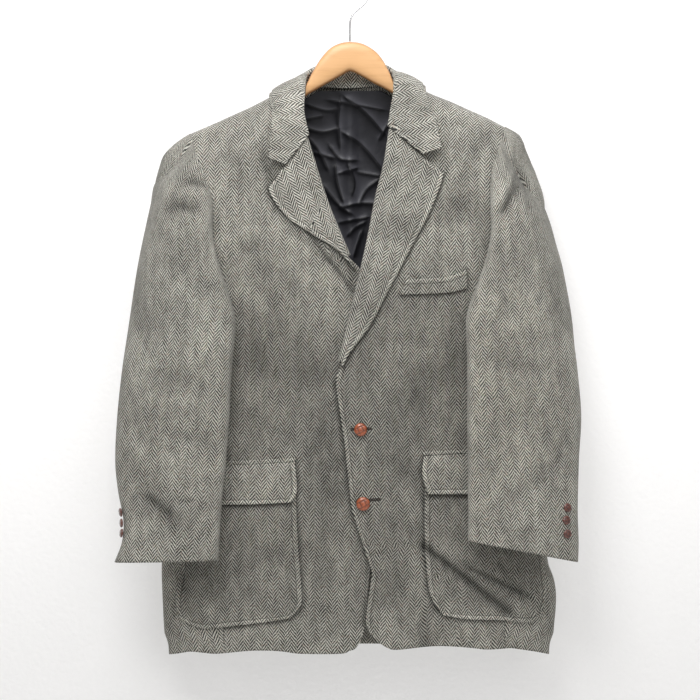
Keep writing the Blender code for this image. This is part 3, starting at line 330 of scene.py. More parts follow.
# Folds of the hanging cloth, each a soft trough from one (x, z) to another; a ridge has a negative depth.
# Columns: x, z, to x, to z, width and depth.
FOLDS = {
    "front_left": [
        (104, -797, 221, -887, 8.5, 3.6),
        (156, -822, 246, -866, 9.0, 2.6),
        (120, -800, 200, -862, 16.0, -1.6),
        (110, -880, 106, -930, 14.0, 2.0),
        (96, -560, 104, -650, 18.0, 2.0),
        (206, -820, 240, -863, 7.0, 1.3),
        (100, -798, 150, -838, 5.0, 1.6),
        (150, -838, 214, -890, 5.0, 2.0),
        (60, -600, 78, -700, 16.0, 1.0),
        (150, -480, 140, -620, 20.0, 1.2),
        (176, -250, 150, -330, 18.0, 1.4),
        (60, -770, 70, -900, 14.0, 1.2),
        (40, -780, 48, -860, 10.0, -0.9),
    ],
    "front_right": [
        (-40, -560, -36, -840, 22.0, 1.6),
        (-150, -470, -120, -560, 18.0, 2.0),
        (-96, -640, -60, -560, 18.0, 1.4),
        (-231, -836, -222, -890, 7.0, 1.6),
        (-161, -374, -134, -363, 8.0, -1.4),
        (-158, -392, -128, -386, 7.0, 1.2),
        (-120, -420, -90, -520, 16.0, 1.2),
        (-10, -600, -16, -760, 14.0, 1.0),
        (-150, -760, -140, -860, 16.0, 1.0),
        (-20, -800, -4, -900, 12.0, -1.0),
        (-58, -364, -28, -404, 4.5, 2.6),
        (-28, -404, 4, -446, 4.5, 3.0),
        (-40, -368, 6, -424, 12.0, 2.2),
        (-176, -225, -150, -300, 22.0, 1.6),
        (-118, -260, -100, -330, 15.0, 2.6),
    ],
    "back": [
        (-120, -300, -60, -420, 26.0, 1.6),
        (130, -300, 70, -430, 26.0, 1.6),
        (-70, -520, -40, -760, 24.0, 1.2),
        (60, -560, 90, -800, 26.0, 1.2),
        (-190, -480, -150, -620, 18.0, 1.4),
        (190, -480, 150, -600, 18.0, 1.4),
        (-30, -185, 40, -190, 10.0, 1.2),
    ],
    "sleeve_left": [
        (240, -268, 214, -335, 12.0, 3.0),
        (205, -540, 262, -556, 18.0, 1.6),
        (210, -625, 250, -612, 20.0, 1.4),
        (236, -272, 172, -372, 9.0, -2.2),
        (246, -280, 245, -330, 6.0, 2.4),
        (236, -300, 212, -334, 5.0, 3.4),
        (250, -328, 266, -334, 4.0, 1.0),
        (200, -400, 216, -470, 16.0, 1.2),
        (280, -420, 292, -560, 16.0, 1.2),
        (170, -660, 196, -690, 9.0, 1.2),
        (280, -690, 300, -640, 12.0, 1.0),
        (230, -720, 262, -700, 12.0, 0.8),
    ],
    "sleeve_right": [
        (-222, -294, -204, -292, 12.0, 2.0),
        (-244, -331, -214, -327, 14.0, 2.4),
        (-278, -727, -243, -757, 14.0, 2.4),
        (-250, -560, -200, -575, 20.0, 1.6),
        (-276, -727, -246, -752, 4.5, 2.8),
        (-232, -733, -216, -731, 4.5, 2.4),
        (-220, -292, -202, -298, 5.0, 3.0),
        (-238, -327, -218, -335, 5.0, 2.8),
        (-228, -308, -212, -313, 6.0, -1.8),
        (-300, -430, -280, -520, 16.0, 1.2),
        (-240, -640, -190, -655, 12.0, 1.2),
        (-308, -620, -282, -650, 11.0, 1.4),
        (-290, -700, -262, -690, 10.0, 0.9),
        (-200, -480, -186, -560, 14.0, -1.0),
    ],
}


def fold_depth(place: str, x: Array, z: Array) -> Array:
    """How far the folds of a place draw the cloth in at x and z."""
    total = np.zeros(np.broadcast(x, z).shape)
    for start_x, start_z, end_x, end_z, wide, deep in FOLDS[place]:
        run_x, run_z = end_x - start_x, end_z - start_z
        along = ((x - start_x) * run_x + (z - start_z) * run_z) / (run_x**2 + run_z**2)
        along = np.clip(along, 0.0, 1.0)
        away = np.hypot(x - start_x - run_x * along, z - start_z - run_z * along)
        total += deep * (np.exp(-((away / wide) ** 2)) + 0.6 * np.exp(-((away / (0.4 * wide)) ** 2)))
    return total


def dimmed(depth: Array) -> Array:
    """The painted light and shade of cloth at a depth in a fold: dimmer in troughs, lighter on ridges."""
    return np.clip(1 - 0.09 * depth, 0.55, 1.12)


def low_shade(z: Array) -> Array:
    """Painted shade down the fronts: how light the cloth looks there, dimmest between the arms."""
    return 1 - 0.24 * smooth((-400 - z) / 130) * (1 - smooth((-850 - z) / 60))


def cast(flat: Array, lines: list[list[Point2]], wide: float = 4.5, dim: float = 0.5) -> Array:
    """The painted shadow beside the edges of what lies on the cloth: how light the cloth looks there.

    Args:
        flat: Points by (x, z).
        lines: The edges.
        wide: How far their painted shadow reaches.
        dim: How much it takes away at most.
    """
    away = np.full(flat.shape[:2], 1e9)
    for line in lines:
        fine = Line(line).at(np.linspace(0, 1, 120))
        for a, b in zip(fine, fine[1:]):
            run = b - a
            share = np.clip(np.sum((flat - a) * run, axis=-1) / max(float(run @ run), 1e-9), 0, 1)
            away = np.minimum(away, np.linalg.norm(flat - a - share[..., None] * run, axis=-1))
    return 1 - dim * np.exp(-((away / wide) ** 2))


def softness(x: Array, z: Array, seed: float) -> Array:
    """The uneven lie of cloth that hangs, within about 1 mm either way."""
    waves = [(0.031, 0.006, 0.35), (0.052, -0.013, 0.22), (-0.018, 0.037, 0.2), (0.083, 0.021, 0.12)]
    total = np.zeros(np.broadcast(x, z).shape)
    for i, (across, down, high) in enumerate(waves):
        bend = 1.3 * np.sin(0.011 * z + 0.017 * x + seed * (i + 2))
        total += high * np.sin(across * x + down * z + bend + seed * (1.7 * i + 1))
    return total


# ---------------------------------------------------------------- shells


HEM_RISE, HEM_TUCK = 8.0, 5.0  # how far the hem's side corners are drawn up and in


def drawn_hem(points: Array) -> Array:
    """The points with the side corners of the hem drawn up and rounded off."""
    x, z = points[..., 0], points[..., 2]
    moved = points.copy()
    moved[..., 2] += HEM_RISE * smooth((-890 - z) / 50) * smooth((np.abs(x) - 180) / 50)
    moved[..., 0] -= HEM_TUCK * np.sign(x) * smooth((-922 - z) / 25) * smooth((np.abs(x) - 215) / 25)
    return moved


@dataclass
class Shell:
    """A thin closed shell of cloth from a grid of points on its outer face.

    Attributes:
        node: The solid that it stands for.
        outer: Rows by columns of points, in mm.
        out: The way out at each point.
        wall: How thick the cloth is.
        edge: How far each point is from a stitched edge.
        shade: The painted light and shade at each point: how light the cloth looks, with hollows and shadowed
            places painted dimmer.
        worn: How far the weave has rubbed away at each point.
        rests_on: What it lies on or hangs from.
    """

    node: str
    outer: Array
    out: Array
    wall: float = WALL
    edge: Array | None = None
    shade: Array | None = None
    worn: Array | None = None
    held: str = "hung"
    rests_on: tuple[str, ...] = ("hanger_body",)

    def __post_init__(self) -> None:
        if self.edge is None:
            self.edge = np.full(self.outer.shape[:2], NO_EDGE)
        if self.shade is None:
            self.shade = np.ones(self.outer.shape[:2])
        if self.worn is None:
            self.worn = np.zeros(self.outer.shape[:2])

    def lifted(self, height: Array) -> None:
        """Moves the cloth out by a height at each point."""
        self.outer = self.outer + self.out * height[..., None]

    def settle(self) -> None:
        """Works the way out afresh from the grid."""
        down = np.gradient(self.outer, axis=0)
        across = np.gradient(self.outer, axis=1)
        fresh = unit(np.cross(down, across))
        sign = np.sign(np.sum(fresh * self.out))
        self.out = fresh * sign

    def turn_edges(self, high: float = 1.0) -> None:
        """Swells the cloth along its stitched edges and sinks the line of stitches."""
        swell = high * np.sin(np.pi * np.clip(self.edge / EDGE_WIDTH, 0, 1)) ** 0.7
        sunk = 0.4 * high * np.exp(-(((self.edge - EDGE_WIDTH - 0.5) / 1.0) ** 2))
        self.lifted(np.nan_to_num(swell) - sunk)

    def lengths(self) -> tuple[Array, Array]:
        """The cloth's own length across each row and up each column."""
        across = np.linalg.norm(np.diff(self.outer, axis=1), axis=2)
        up = np.linalg.norm(np.diff(self.outer, axis=0), axis=2)
        return across, up

    def weave(self) -> Array:
        """Where each point is in the woven cloth, in mm across its columns and along them."""
        across, up = self.lengths()
        u = np.concatenate([np.zeros((len(across), 1)), np.cumsum(across, axis=1)], axis=1)
        v = np.concatenate([np.zeros((1, up.shape[1])), np.cumsum(up, axis=0)], axis=0)
        u = u - u[:, u.shape[1] // 2][:, None]
        return np.stack([u, np.broadcast_to(np.mean(v, axis=1)[:, None], u.shape)], axis=-1)

    def build(self, material: bpy.types.Material, weave: Array | None = None) -> bpy.types.Object:
        """Makes the object: two skins and the rim between them."""
        self.outer = drawn_hem(self.outer)
        rows, columns = self.outer.shape[:2]
        bm = bmesh.new()
        skins = []
        for points in (self.outer, self.outer - self.out * self.wall):
            made = bmesh.ops.create_grid(bm, x_segments=columns - 1, y_segments=rows - 1, size=1.0)
            for vert, co in zip(made["verts"], (points * MM).reshape(-1, 3)):
                vert.co = co
            skins.append(made["verts"])
        rim = [j for j in range(columns)]
        rim += [i * columns + columns - 1 for i in range(1, rows)]
        rim += [(rows - 1) * columns + j for j in range(columns - 2, -1, -1)]
        rim += [i * columns for i in range(rows - 2, 0, -1)]
        for a, b in zip(rim, rim[1:] + rim[:1]):
            bm.faces.new([skins[0][b], skins[0][a], skins[1][a], skins[1][b]])
        bmesh.ops.recalc_face_normals(bm, faces=bm.faces)
        made = mesh_object(f"look_{self.node}", bm, material)
        spots = (self.weave() if weave is None else weave) * MM
        give_weave(made, np.vstack([spots.reshape(-1, 2)] * 2))
        give_value(made, "edge", np.concatenate([self.edge.ravel(), np.full(self.edge.size, NO_EDGE)]))
        give_value(made, "shade", np.tile(self.shade.ravel(), 2))
        give_value(made, "worn", np.tile(self.worn.ravel(), 2))
        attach(made, "root")
        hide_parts(self.node)
        return made


def mesh_object(name: str, bm: bmesh.types.BMesh, material: bpy.types.Material) -> bpy.types.Object:
    """Turns a bmesh into an object with smooth faces."""
    mesh = bpy.data.meshes.new(name)
    bm.to_mesh(mesh)
    bm.free()
    mesh.shade_smooth()
    mesh.materials.append(material)
    made = bpy.data.objects.new(name, mesh)
    bpy.context.collection.objects.link(made)
    return made


def give_weave(made: bpy.types.Object, spots: Array) -> None:
    """Writes the weave coordinates of each vertex as the object's UV map."""
    mesh = made.data
    layer = mesh.uv_layers.new(name="weave")
    corners = np.empty(len(mesh.loops), dtype=np.int32)
    mesh.loops.foreach_get("vertex_index", corners)
    layer.data.foreach_set("uv", spots[corners].astype(np.float32).ravel())


def give_value(made: bpy.types.Object, name: str, values: Array) -> None:
    """Writes one number for each vertex."""
    layer = made.data.attributes.new(name, "FLOAT", "POINT")
    layer.data.foreach_set("value", values.astype(np.float32))


def row_distance(points: Array, last: bool) -> Array:
    """How far each point is along its row from the first or last column."""
    steps = np.linalg.norm(np.diff(points, axis=1), axis=2)
    reach = np.concatenate([np.zeros((len(points), 1)), np.cumsum(steps, axis=1)], axis=1)
    return reach[:, -1:] - reach if last else reach


def column_distance(points: Array, last: bool) -> Array:
    """How far each point is along its column from the first or last row."""
    return row_distance(points.transpose(1, 0, 2), last).T


def edges_of(points: Array, names: str) -> Array:
    """How far each point is from the nearest of the named edges: start, end, bottom and top."""
    found = np.full(points.shape[:2], NO_EDGE)
    for name in names.split():
        if name in ("start", "end"):
            near = row_distance(points, name == "end")
        else:
            near = column_distance(points, name == "top")
        found = np.minimum(found, near)
    return found


# ---------------------------------------------------------------- fronts, sides and back

NECK_SIDE = 74.0
ROLL_SETBACK = 5.0
ARMHOLE_UNDER = 2.5
SIDE_GAP = 0.5
SEAM_TOP = -455.0
HEM_SIDE = -957.0
HEM_BACK = -938.0
BACK_NECK = {"left": -156.5, "right": -161.0}
BACK_NECK_MIDDLE = -161.0
RIDGE_DROP = 0.02
OVERLAP_ENDS = (48.0, 150.0)

ROLL_LINE = {
    Side.LEFT: [(-18.5, -547), (-9, -508), (2, -460), (12, -420), (24, -366), (34, -314), (45, -270), (53, -221)],
    Side.RIGHT: [(2, -396), (-6.5, -377), (-16.2, -354), (-26, -330), (-37, -298), (-48, -263), (-57, -233)],
}
NECK_LINE = {
    Side.LEFT: [(57, -193), (63, -173), (NECK_SIDE, -148)],
    Side.RIGHT: [(-65.5, -203), (-68, -180), (-NECK_SIDE, -155)],
}
FRONT_EDGE = {
    Side.LEFT: [
        (38.5, -928), (27, -914), (22, -900), (24, -878), (28, -851), (30, -832), (24.5, -814),
        (14, -782), (5, -753), (2, -740), (-3, -697), (-8, -650), (-14, -610), (-19, -570),
    ],
    Side.RIGHT: [
        (14, -928), (19, -913), (24, -880), (26, -845), (32, -800), (36, -740), (38, -660),
        (38, -580), (37, -510), (33, -462), (25, -434), (12, -412),
    ],
}
SIDE_SEAM = {
    Side.LEFT: Table("z x", (-950, 215), (-850, 213), (-700, 210), (-600, 212), (-500, 217), (-455, 219.5)),
    Side.RIGHT: Table("z x", (-950, -174), (-850, -178), (-700, -187), (-600, -195), (-500, -206), (-455, -211)),
}
BACK_SEAM = {
    Side.LEFT: Table("z x", (-950, 209), (-850, 208), (-700, 206), (-600, 209), (-500, 213), (-455, 215)),
    Side.RIGHT: Table(
        "z x", (-950, -199), (-850, -200), (-700, -202), (-600, -206), (-500, -209), (-455, -210.5)
    ),
}
ARMHOLE_FRONT = {
    Side.LEFT: [
        (219.5, -455), (207, -425), (197, -375), (193, -320), (195, -281), (204, -250), (216, -216),
    ],
    Side.RIGHT: [
        (-211, -455), (-200, -425), (-190, -375), (-189, -325), (-197, -292), (-211, -260),
        (-222, -225),
    ],
}
ARMHOLE_BACK = {
    Side.LEFT: [(215, -455), (208, -425), (200, -375), (197, -320), (199, -281), (206, -250), (216, -216)],
    Side.RIGHT: [
        (-210.5, -455), (-205, -425), (-199, -375), (-198, -325), (-203, -292), (-213, -260),
        (-222, -225),
    ],
}
UNDERARM = {Side.LEFT: -474.0, Side.RIGHT: -472.0}
HEM = {
    Side.LEFT: [(38.5, -928), (52, -936.5), (64, -939), (97, -936), (129, -934.5), (173, -938), (215, -945)],
    Side.RIGHT: [
        (14, -928), (7, -938), (-1, -941), (-14, -945), (-68, -945), (-98, -941.5), (-135, -941), (-174, -945),
    ],
}
OVERLAP = Table(
    "z lift",
    (-960, 3.1), (-600, 3.1), (-548, 6.2), (-480, 7.2), (-435, 9.0), (-400, 9.0), (-365, 6.0), (-320, 2.0),
    (-280, 0.0),
)


def shifted(points: Sequence[Point2], x: float) -> list[Point2]:
    """The points moved along x."""
    return [(px + x, pz) for px, pz in points]


def shoulder_points(start: float, end: float) -> list[Point2]:
    """Points on the shoulder line from start to end in x."""
    return [(float(x), float(SHOULDER.read(x, "z"))) for x in np.linspace(start, end, 13)]


def front_lift(side: Side, x: Array, z: Array) -> Array:
    """How far out of the form the outer face of a front, and of the side body beside it, lies."""
    if side is Side.LEFT:
        start, end = OVERLAP_ENDS
        over = OVERLAP.read(z, "lift") * (1 - smooth((x - start) / (end - start)))
    else:
        over = rolled(x, z)
    low = np.minimum(softness(x, z, side.sign), 0.6)
    return over + low - fold_depth(f"front_{side.value}", x, z)


def armhole_side(side: Side, seam: Table, armhole: Sequence[Point2], low: float) -> list[Point2]:
    """The side edge of a front or back: up its seam, then round the armhole under the sleeve."""
    up = [(float(seam.read(z, "x")) - side.sign * SIDE_GAP / 2, z) for z in np.linspace(low, SEAM_TOP, 11)]
    return up + [(x + side.sign * ARMHOLE_UNDER, z) for x, z in armhole[1:]]


def front_edges(side: Side) -> tuple[Line, Line, Line, Line]:
    """The hem, shoulder, front edge and side of a front."""
    edge = FRONT_EDGE[side] + shifted(ROLL_LINE[side], side.sign * ROLL_SETBACK)
    edge += shifted(NECK_LINE[side][:-1], side.sign * ROLL_SETBACK) + [NECK_LINE[side][-1]]
    outer = armhole_side(side, SIDE_SEAM[side], ARMHOLE_FRONT[side], HEM[side][-1][1])
    top = shoulder_points(side.sign * NECK_SIDE, outer[-1][0])
    edge[-1], outer[-1] = top[0], top[-1]
    return Line(HEM[side][:-1] + [outer[0]]), Line(top), Line(edge), Line(outer)


def upright_weave(points: Array, across: float, facing: int = 1) -> Array:
    """Weave coordinates with upright columns: the cloth's length round the form and up it.

    Args:
        points: Rows by columns of points on the cloth.
        across: The x at which the weave is at its own x.
        facing: -1 where the cloth is seen from behind.
    """
    step = np.diff(points, axis=1)
    run = np.hypot(step[..., 0], step[..., 1]) * np.sign(step[..., 0])
    u = np.concatenate([np.zeros((len(points), 1)), np.cumsum(run, axis=1)], axis=1)
    start = np.argmin(np.abs(points[..., 0] - across), axis=1)
    rows = np.arange(len(points))
    u = u - (u[rows, start] - points[rows, start, 0])[:, None]
    rise = np.diff(points, axis=0)
    climb = np.hypot(rise[..., 1], rise[..., 2]) * np.sign(rise[..., 2])
    v = np.concatenate([np.zeros((1, points.shape[1])), np.cumsum(climb, axis=0)], axis=0)
    middle = len(points) // 2
    v = v - v[middle] + points[middle, :, 2]
    return np.stack([u * facing, v], axis=-1)


def fallen_weave(points: Array, out: Array, level: int, along: bool = False) -> Array:
    """Weave coordinates whose columns run up the steepest way, worked out from one level row.

    Args:
        points: Rows by columns of points on the cloth.
        out: The way out at each point.
        level: The row from which the others are worked out.
        along: Whether the columns stand square on that row instead of running up the steepest way.
    """
    if along:
        way = unit(np.gradient(points[level], axis=0))[None]
        aside = unit(way - out * np.sum(way * out, axis=-1, keepdims=True))
    else:
        flat = np.stack([-out[..., 1], out[..., 0], np.zeros(out.shape[:2])], axis=-1)
        aside = unit(flat + 1e-6)
    up = np.cross(out, aside)
    spots = np.zeros((*points.shape[:2], 2))

    def move(start: tuple, end: tuple) -> Array:
        step = points[end] - points[start]
        over = [np.sum(step * (way[start] + way[end]) / 2, axis=-1) for way in (aside, up)]
        return np.stack(over, axis=-1)

    wide, middle = points.shape[1], points.shape[1] // 2

    def spread(i: int) -> None:
        for j in range(middle + 1, wide):
            spots[i, j] = spots[i, j - 1] + move((i, j - 1), (i, j))
        for j in range(middle - 1, -1, -1):
            spots[i, j] = spots[i, j + 1] + move((i, j + 1), (i, j))

    spread(level)
    for i in range(level + 1, len(points)):
        if along:
            spots[i] = spots[i - 1] + move((i - 1,), (i,))
        else:
            spots[i, middle] = spots[i - 1, middle] + move((i - 1, middle), (i, middle))
            spread(i)
    for i in range(level - 1, -1, -1):
        spots[i] = spots[i + 1] + move((i + 1,), (i,))
    return spots


def laid_shell(
    node: str,
    flat: Array,
    side: Side | None,
    over: Array | float,
    wall: float,
    edges: str = "",
    facing: Facing = Facing.FRONT,
) -> Shell:
    """A shell that follows a front, or the plain body form where side is None.

    Args:
        node: The solid that it stands for.
        flat: Rows by columns of (x, z).
        side: The front on which it lies.
        over: How far its outer face lies over that front's.
        wall: How thick it is.
        edges: Its stitched edges.
        facing: The front or back of the body form.
    """
    x, z = flat[..., 0], flat[..., 1]
    base = on_body(x, z, facing)
    out = unit(gradient(base))
    high = (front_lift(side, x, z) if side else np.zeros(x.shape)) + over
    shell = Shell(node, base + out * high[..., None], out, wall)
    shell.settle()
    if edges:
        shell.edge = edges_of(shell.outer, edges)
    return shell


def make_fronts(tweed: bpy.types.Material) -> None:
    """Both fronts, with their turned and stitched front edges below the lapels."""
    for side in Side:
        hem, top, edge, outer = front_edges(side)
        us = spaced(230, 2.8, (True, False))
        vs = spaced(745, 3.2)
        flat = coons(hem, top, edge, outer, us, vs)
        flat[..., 1] = np.minimum(flat[..., 1], SHOULDER.read(flat[..., 0], "z") - RIDGE_DROP)
        shell = laid_shell(f"front_{side.value}", flat, side, 0.0, WALL)
        near = row_distance(shell.outer, False)
        below = flat[:, 0, 1] < ROLL_LINE[side][0][1] + 4
        shell.edge = np.where(below[:, None], near, NO_EDGE)
        shell.turn_edges(0.6)
        # Painted shade: dimmer in the folds, a painted shadow beside what lies on the front, and darker down the
        # middle of the fronts.
        shell.shade = dimmed(fold_depth(f"front_{side.value}", flat[..., 0], flat[..., 1]))
        shell.shade = shell.shade * cast(flat, laid_outlines(side)) * low_shade(flat[..., 1])
        shell.build(tweed, upright_weave(shell.outer, side.sign * 110))


def make_backs(tweed: bpy.types.Material) -> None:
    """Both halves of the plain back, which meet in a seam."""
    for side in Side:
        gap = side.sign * 0.15
        low = BACK_NECK[side.value]
        middle = [(gap, z) for z in (HEM_BACK, -700, -450, -300, BACK_NECK_MIDDLE)]
        neck = [(gap, BACK_NECK_MIDDLE), (side.sign * 30, low - 1), (side.sign * 56, low)]
        outer = armhole_side(side, BACK_SEAM[side], ARMHOLE_BACK[side], HEM_BACK)
        top = shoulder_points(side.sign * NECK_SIDE, outer[-1][0])
        outer[-1] = top[-1]
        hem = [middle[0], (side.sign * 100, HEM_BACK), outer[0]]
        us, vs = spaced(230, 4.0), spaced(745, 4.4)
        flat = coons(Line(hem), Line(neck + top), Line(middle), Line(outer), us, vs)
        flat[..., 1] = np.minimum(flat[..., 1], SHOULDER.read(flat[..., 0], "z") - RIDGE_DROP)
        x, z = flat[..., 0], flat[..., 1]
        fade = smooth(np.abs(x) / 12)
        over = (np.minimum(softness(x, z, 3.1), 0.6) - fold_depth("back", x, z)) * fade
        over -= 0.8 * np.exp(-((x / 3.0) ** 2))
        shell = laid_shell(f"back_{side.value}", flat, None, over, WALL, facing=Facing.BACK)
        shell.build(tweed, upright_weave(shell.outer, side.sign * 110))


def underarm_point(side: Side, u: Array, z: Array, gap: float = 0.0) -> Array:
    """Points u of the way round the side body, from its front seam to its back one."""
    front = SIDE_SEAM[side].read(z, "x") + side.sign * gap
    back = BACK_SEAM[side].read(z, "x") + side.sign * gap
    start, end = angle_at(front, z, Facing.FRONT), angle_at(back, z, Facing.BACK)
    if side is Side.RIGHT:
        end = end + 360
    return around_body(start + (end - start) * u, z)


def underarm_height(side: Side, u: Array) -> Array:
    """How high the side body reaches u of the way round: it dips under the arm."""
    return SEAM_TOP + (UNDERARM[side] - SEAM_TOP) * np.sin(np.pi * u)


def make_sides(tweed: bpy.types.Material) -> None:
    """The side bodies under the arms."""
    for side in Side:
        u, v = spaced(200, 4.0)[None, :], spaced(480, 4.4)[:, None]
        front_hem = HEM[side][-1][1]
        low = (1 - u) * front_hem + u * HEM_BACK
        low = low + (HEM_SIDE - low) * np.sin(np.pi * u)
        z = low + (underarm_height(side, u) - low) * v
        base = underarm_point(side, np.broadcast_to(u, z.shape), z, SIDE_GAP / 2)
        out = unit(gradient(base))
        lift = front_lift(side, base[..., 0], base[..., 2]) * smooth(-out[..., 1] * 2)
        shell = Shell(f"side_{side.value}", base + out * lift[..., None], out)
        shell.settle()
        shell.build(tweed)


# ---------------------------------------------------------------- lapels and collar

LAPEL_EDGE = {
    Side.LEFT: [
        (-10.5, -549), (-3, -534), (9.5, -516), (24, -497.5), (36.5, -476), (50, -448.5), (68.5, -414),
        (89, -375), (109.5, -336), (124, -300), (128.5, -283.5),
    ],
    Side.RIGHT: [
        (5, -413), (-5, -401), (-15, -391), (-28, -381), (-40, -374), (-51, -367.5), (-67, -357),
        (-81, -348), (-98, -330),
        (-109, -312), (-112, -302),
    ],
}
GORGE = {
    Side.LEFT: [(53, -221), (80, -243), (106, -265), (118, -274.5), (128.5, -283.5)],
    Side.RIGHT: [(-57, -233), (-76, -256), (-94, -279), (-103, -291), (-112, -302)],
}
LAPEL_GAP = 1.0
LAPEL_CROWN = {Side.LEFT: 4.5, Side.RIGHT: 3.0}
LAPEL_START = {Side.LEFT: 0.15, Side.RIGHT: 0.05}
TURN_UNDER = 7.0
# The lapel's weave leans like its roll line, in degrees from upright.
LAPEL_LEAN = {Side.LEFT: 14.0, Side.RIGHT: -20.0}
# The notch shows between these shares of the gorge and the lapel's tip.
NOTCH_START = {Side.LEFT: 0.62, Side.RIGHT: 0.6}


def make_lapels(tweed: bpy.types.Material) -> None:
    """Both lapels: over the front from the stitched edge to the roll, round it and a little way in."""
    for side in Side:
        roll = shifted(ROLL_LINE[side], side.sign * ROLL_SETBACK)
        share = LAPEL_START[side]
        first = np.array(roll[0]) * (1 - share) + np.array(roll[1]) * share
        roll[0] = (float(first[0]), float(first[1]))
        edge = LAPEL_EDGE[side]
        us, vs = spaced(80, 2.2, (False, True)), spaced(290, 2.6, (False, True))
        patch = coons(
            Line([roll[0], edge[0]]), Line([roll[-1], *GORGE[side][1:]]), Line(roll), Line(edge), us, vs
        )
        over, under = LAPEL_GAP + FACING_WALL, -(WALL + LAPEL_GAP + FACING_WALL)
        middle, radius = (over + under) / 2, (over - under) / 2
        away = np.array([-side.sign, 0.0, 0.0])
        base = on_body(patch[..., 0], patch[..., 1], Facing.FRONT)
        out = unit(gradient(base))
        rest = front_lift(side, base[..., 0], base[..., 2])
        crown = np.sin(np.pi * us)[None] * smooth(3 * vs)[:, None] * smooth(4 * (1 - vs) + 0.3)[:, None]
        wave = 0.5 * np.sin(vs * 9.0 + side.sign)[:, None] * us[None] ** 2
        high = rest + over + LAPEL_CROWN[side] * crown + wave
        face = base + out * high[..., None]
        start, start_out, start_rest = base[:, 0], out[:, 0], rest[:, 0][:, None]
        columns, outs = [], []
        columns.append(start - away * TURN_UNDER + start_out * (start_rest + under))
        outs.append(-start_out)
        for turn in np.linspace(180, 0, 9):
            c, s = math.cos(math.radians(turn)), math.sin(math.radians(turn))
            spoke = start_out * c + away * s
            columns.append(start + start_out * (start_rest + middle) + spoke * radius)
            outs.append(spoke)
        outer = np.concatenate([np.stack(columns, axis=1), face[:, 1:]], axis=1)
        outward = np.concatenate([np.stack(outs, axis=1), out[:, 1:]], axis=1)
        shell = Shell(f"lapel_{side.value}", outer, outward, FACING_WALL, rests_on=(f"front_{side.value}",))
        shell.settle()
        shell.edge = edges_of(outer, "end")
        notch = np.concatenate([np.zeros(len(columns)), us[1:]]) > NOTCH_START[side]
        near_top = column_distance(outer, True)
        shell.edge = np.where(notch[None], np.minimum(shell.edge, near_top), shell.edge)
        shell.turn_edges(0.75)
        weave = upright_weave(shell.outer, side.sign * 60)
        turn = math.radians(LAPEL_LEAN[side])
        u = weave[..., 0] * math.cos(turn) - weave[..., 1] * math.sin(turn)
        v = weave[..., 0] * math.sin(turn) + weave[..., 1] * math.cos(turn)
        shell.build(tweed, np.stack([u, v], axis=-1))


COLLAR = Table(
    "station stand_x stand_y stand_z fold_x fold_y fold_z mid_x mid_y mid_z edge_x edge_y edge_z",
    (0, -64, -39, -233, -57.5, -51, -230, -90, -60, -270, -112, -60, -262),
    (1, -71, -29, -201, -64.5, -42, -198, -88, -50, -224, -108, -52, -221),
    (2, -72, -17, -175, -63.5, -27, -171, -88, -32, -187, -107, -34, -195),
    (3, -68.5, 5, -153.5, -59, 4, -141, -84, 2, -153.5, -107, 0, -169.5),
    (4, -48, 15, -158, -40, 25, -129, -50, 36, -147, -68, 40, -175),
    (5, 0, 19, -160, 0, 30, -125, 0, 40, -146, 0, 44, -180),
    (6, 47, 16, -156.5, 40, 25, -127, 50, 36, -145, 66, 40, -172),
    (7, 69, 6, -150, 58, 4, -137, 81, 2, -149, 101, 0, -159),
    (8, 72, -17, -170, 61, -27, -164, 88, -32, -175, 106, -34, -178),
    (9, 67, -30, -194, 57, -42, -192, 90, -50, -211, 117, -52, -208),
    (10, 60, -40, -221, 53, -50, -217.5, 101, -60, -256, 126.5, -60, -248),
)
COLLAR_LIFT = LAY_GAP + FACING_WALL + 0.4
COLLAR_ROWS = 8  # the rows of the stand, before the fall begins to lie on the body
COLLAR_REACH = 1.2  # how far the ends of the collar run on to meet the lapels


def collar_grid(stations: Array) -> tuple[Array, Array]:
    """The collar before it is laid on the body, and how near each of its columns is to an end."""
    read = {name: COLLAR.read(stations, name) for name in COLLAR.names[1:]}
    stand, fold, mid, edge = (
        np.stack([read[f"{name}_{axis}"] for axis in "xyz"], axis=-1) for name in ("stand", "fold", "mid", "edge")
    )
    near_end = 1 - smooth(np.minimum(stations, 10 - stations) / 0.7)
    shares = spaced(70, 2.2, (False, True))
    columns = []
    for s, f, m, e, near in zip(stand, fold, mid, edge, near_end):
        up = s + (f - s) * np.array([0, 0.25, 0.5, 0.7, 0.85, 0.95])[:, None]
        first, second = np.linalg.norm(m - f), np.linalg.norm(e - m)
        corner = first / (first + second)
        straight = np.where(
            shares[:, None] < corner,
            f + (m - f) * (shares / corner)[:, None],
            m + (e - m) * ((shares - corner) / (1 - corner))[:, None],
        )
        fall = Line([f, m, e]).at(shares) * (1 - near) + straight * near
        along = unit(m - f)
        reach = np.array([-abs(along[2]) * np.sign(m[0]), 0.0, -abs(along[0])]) * COLLAR_REACH * near
        fall = fall + reach * (smooth(shares / 0.1) * (1 - smooth((shares - corner + 0.04) / 0.2)))[:, None]
        columns.append(np.vstack([up, fall]))
    return np.stack(columns, axis=1), near_end


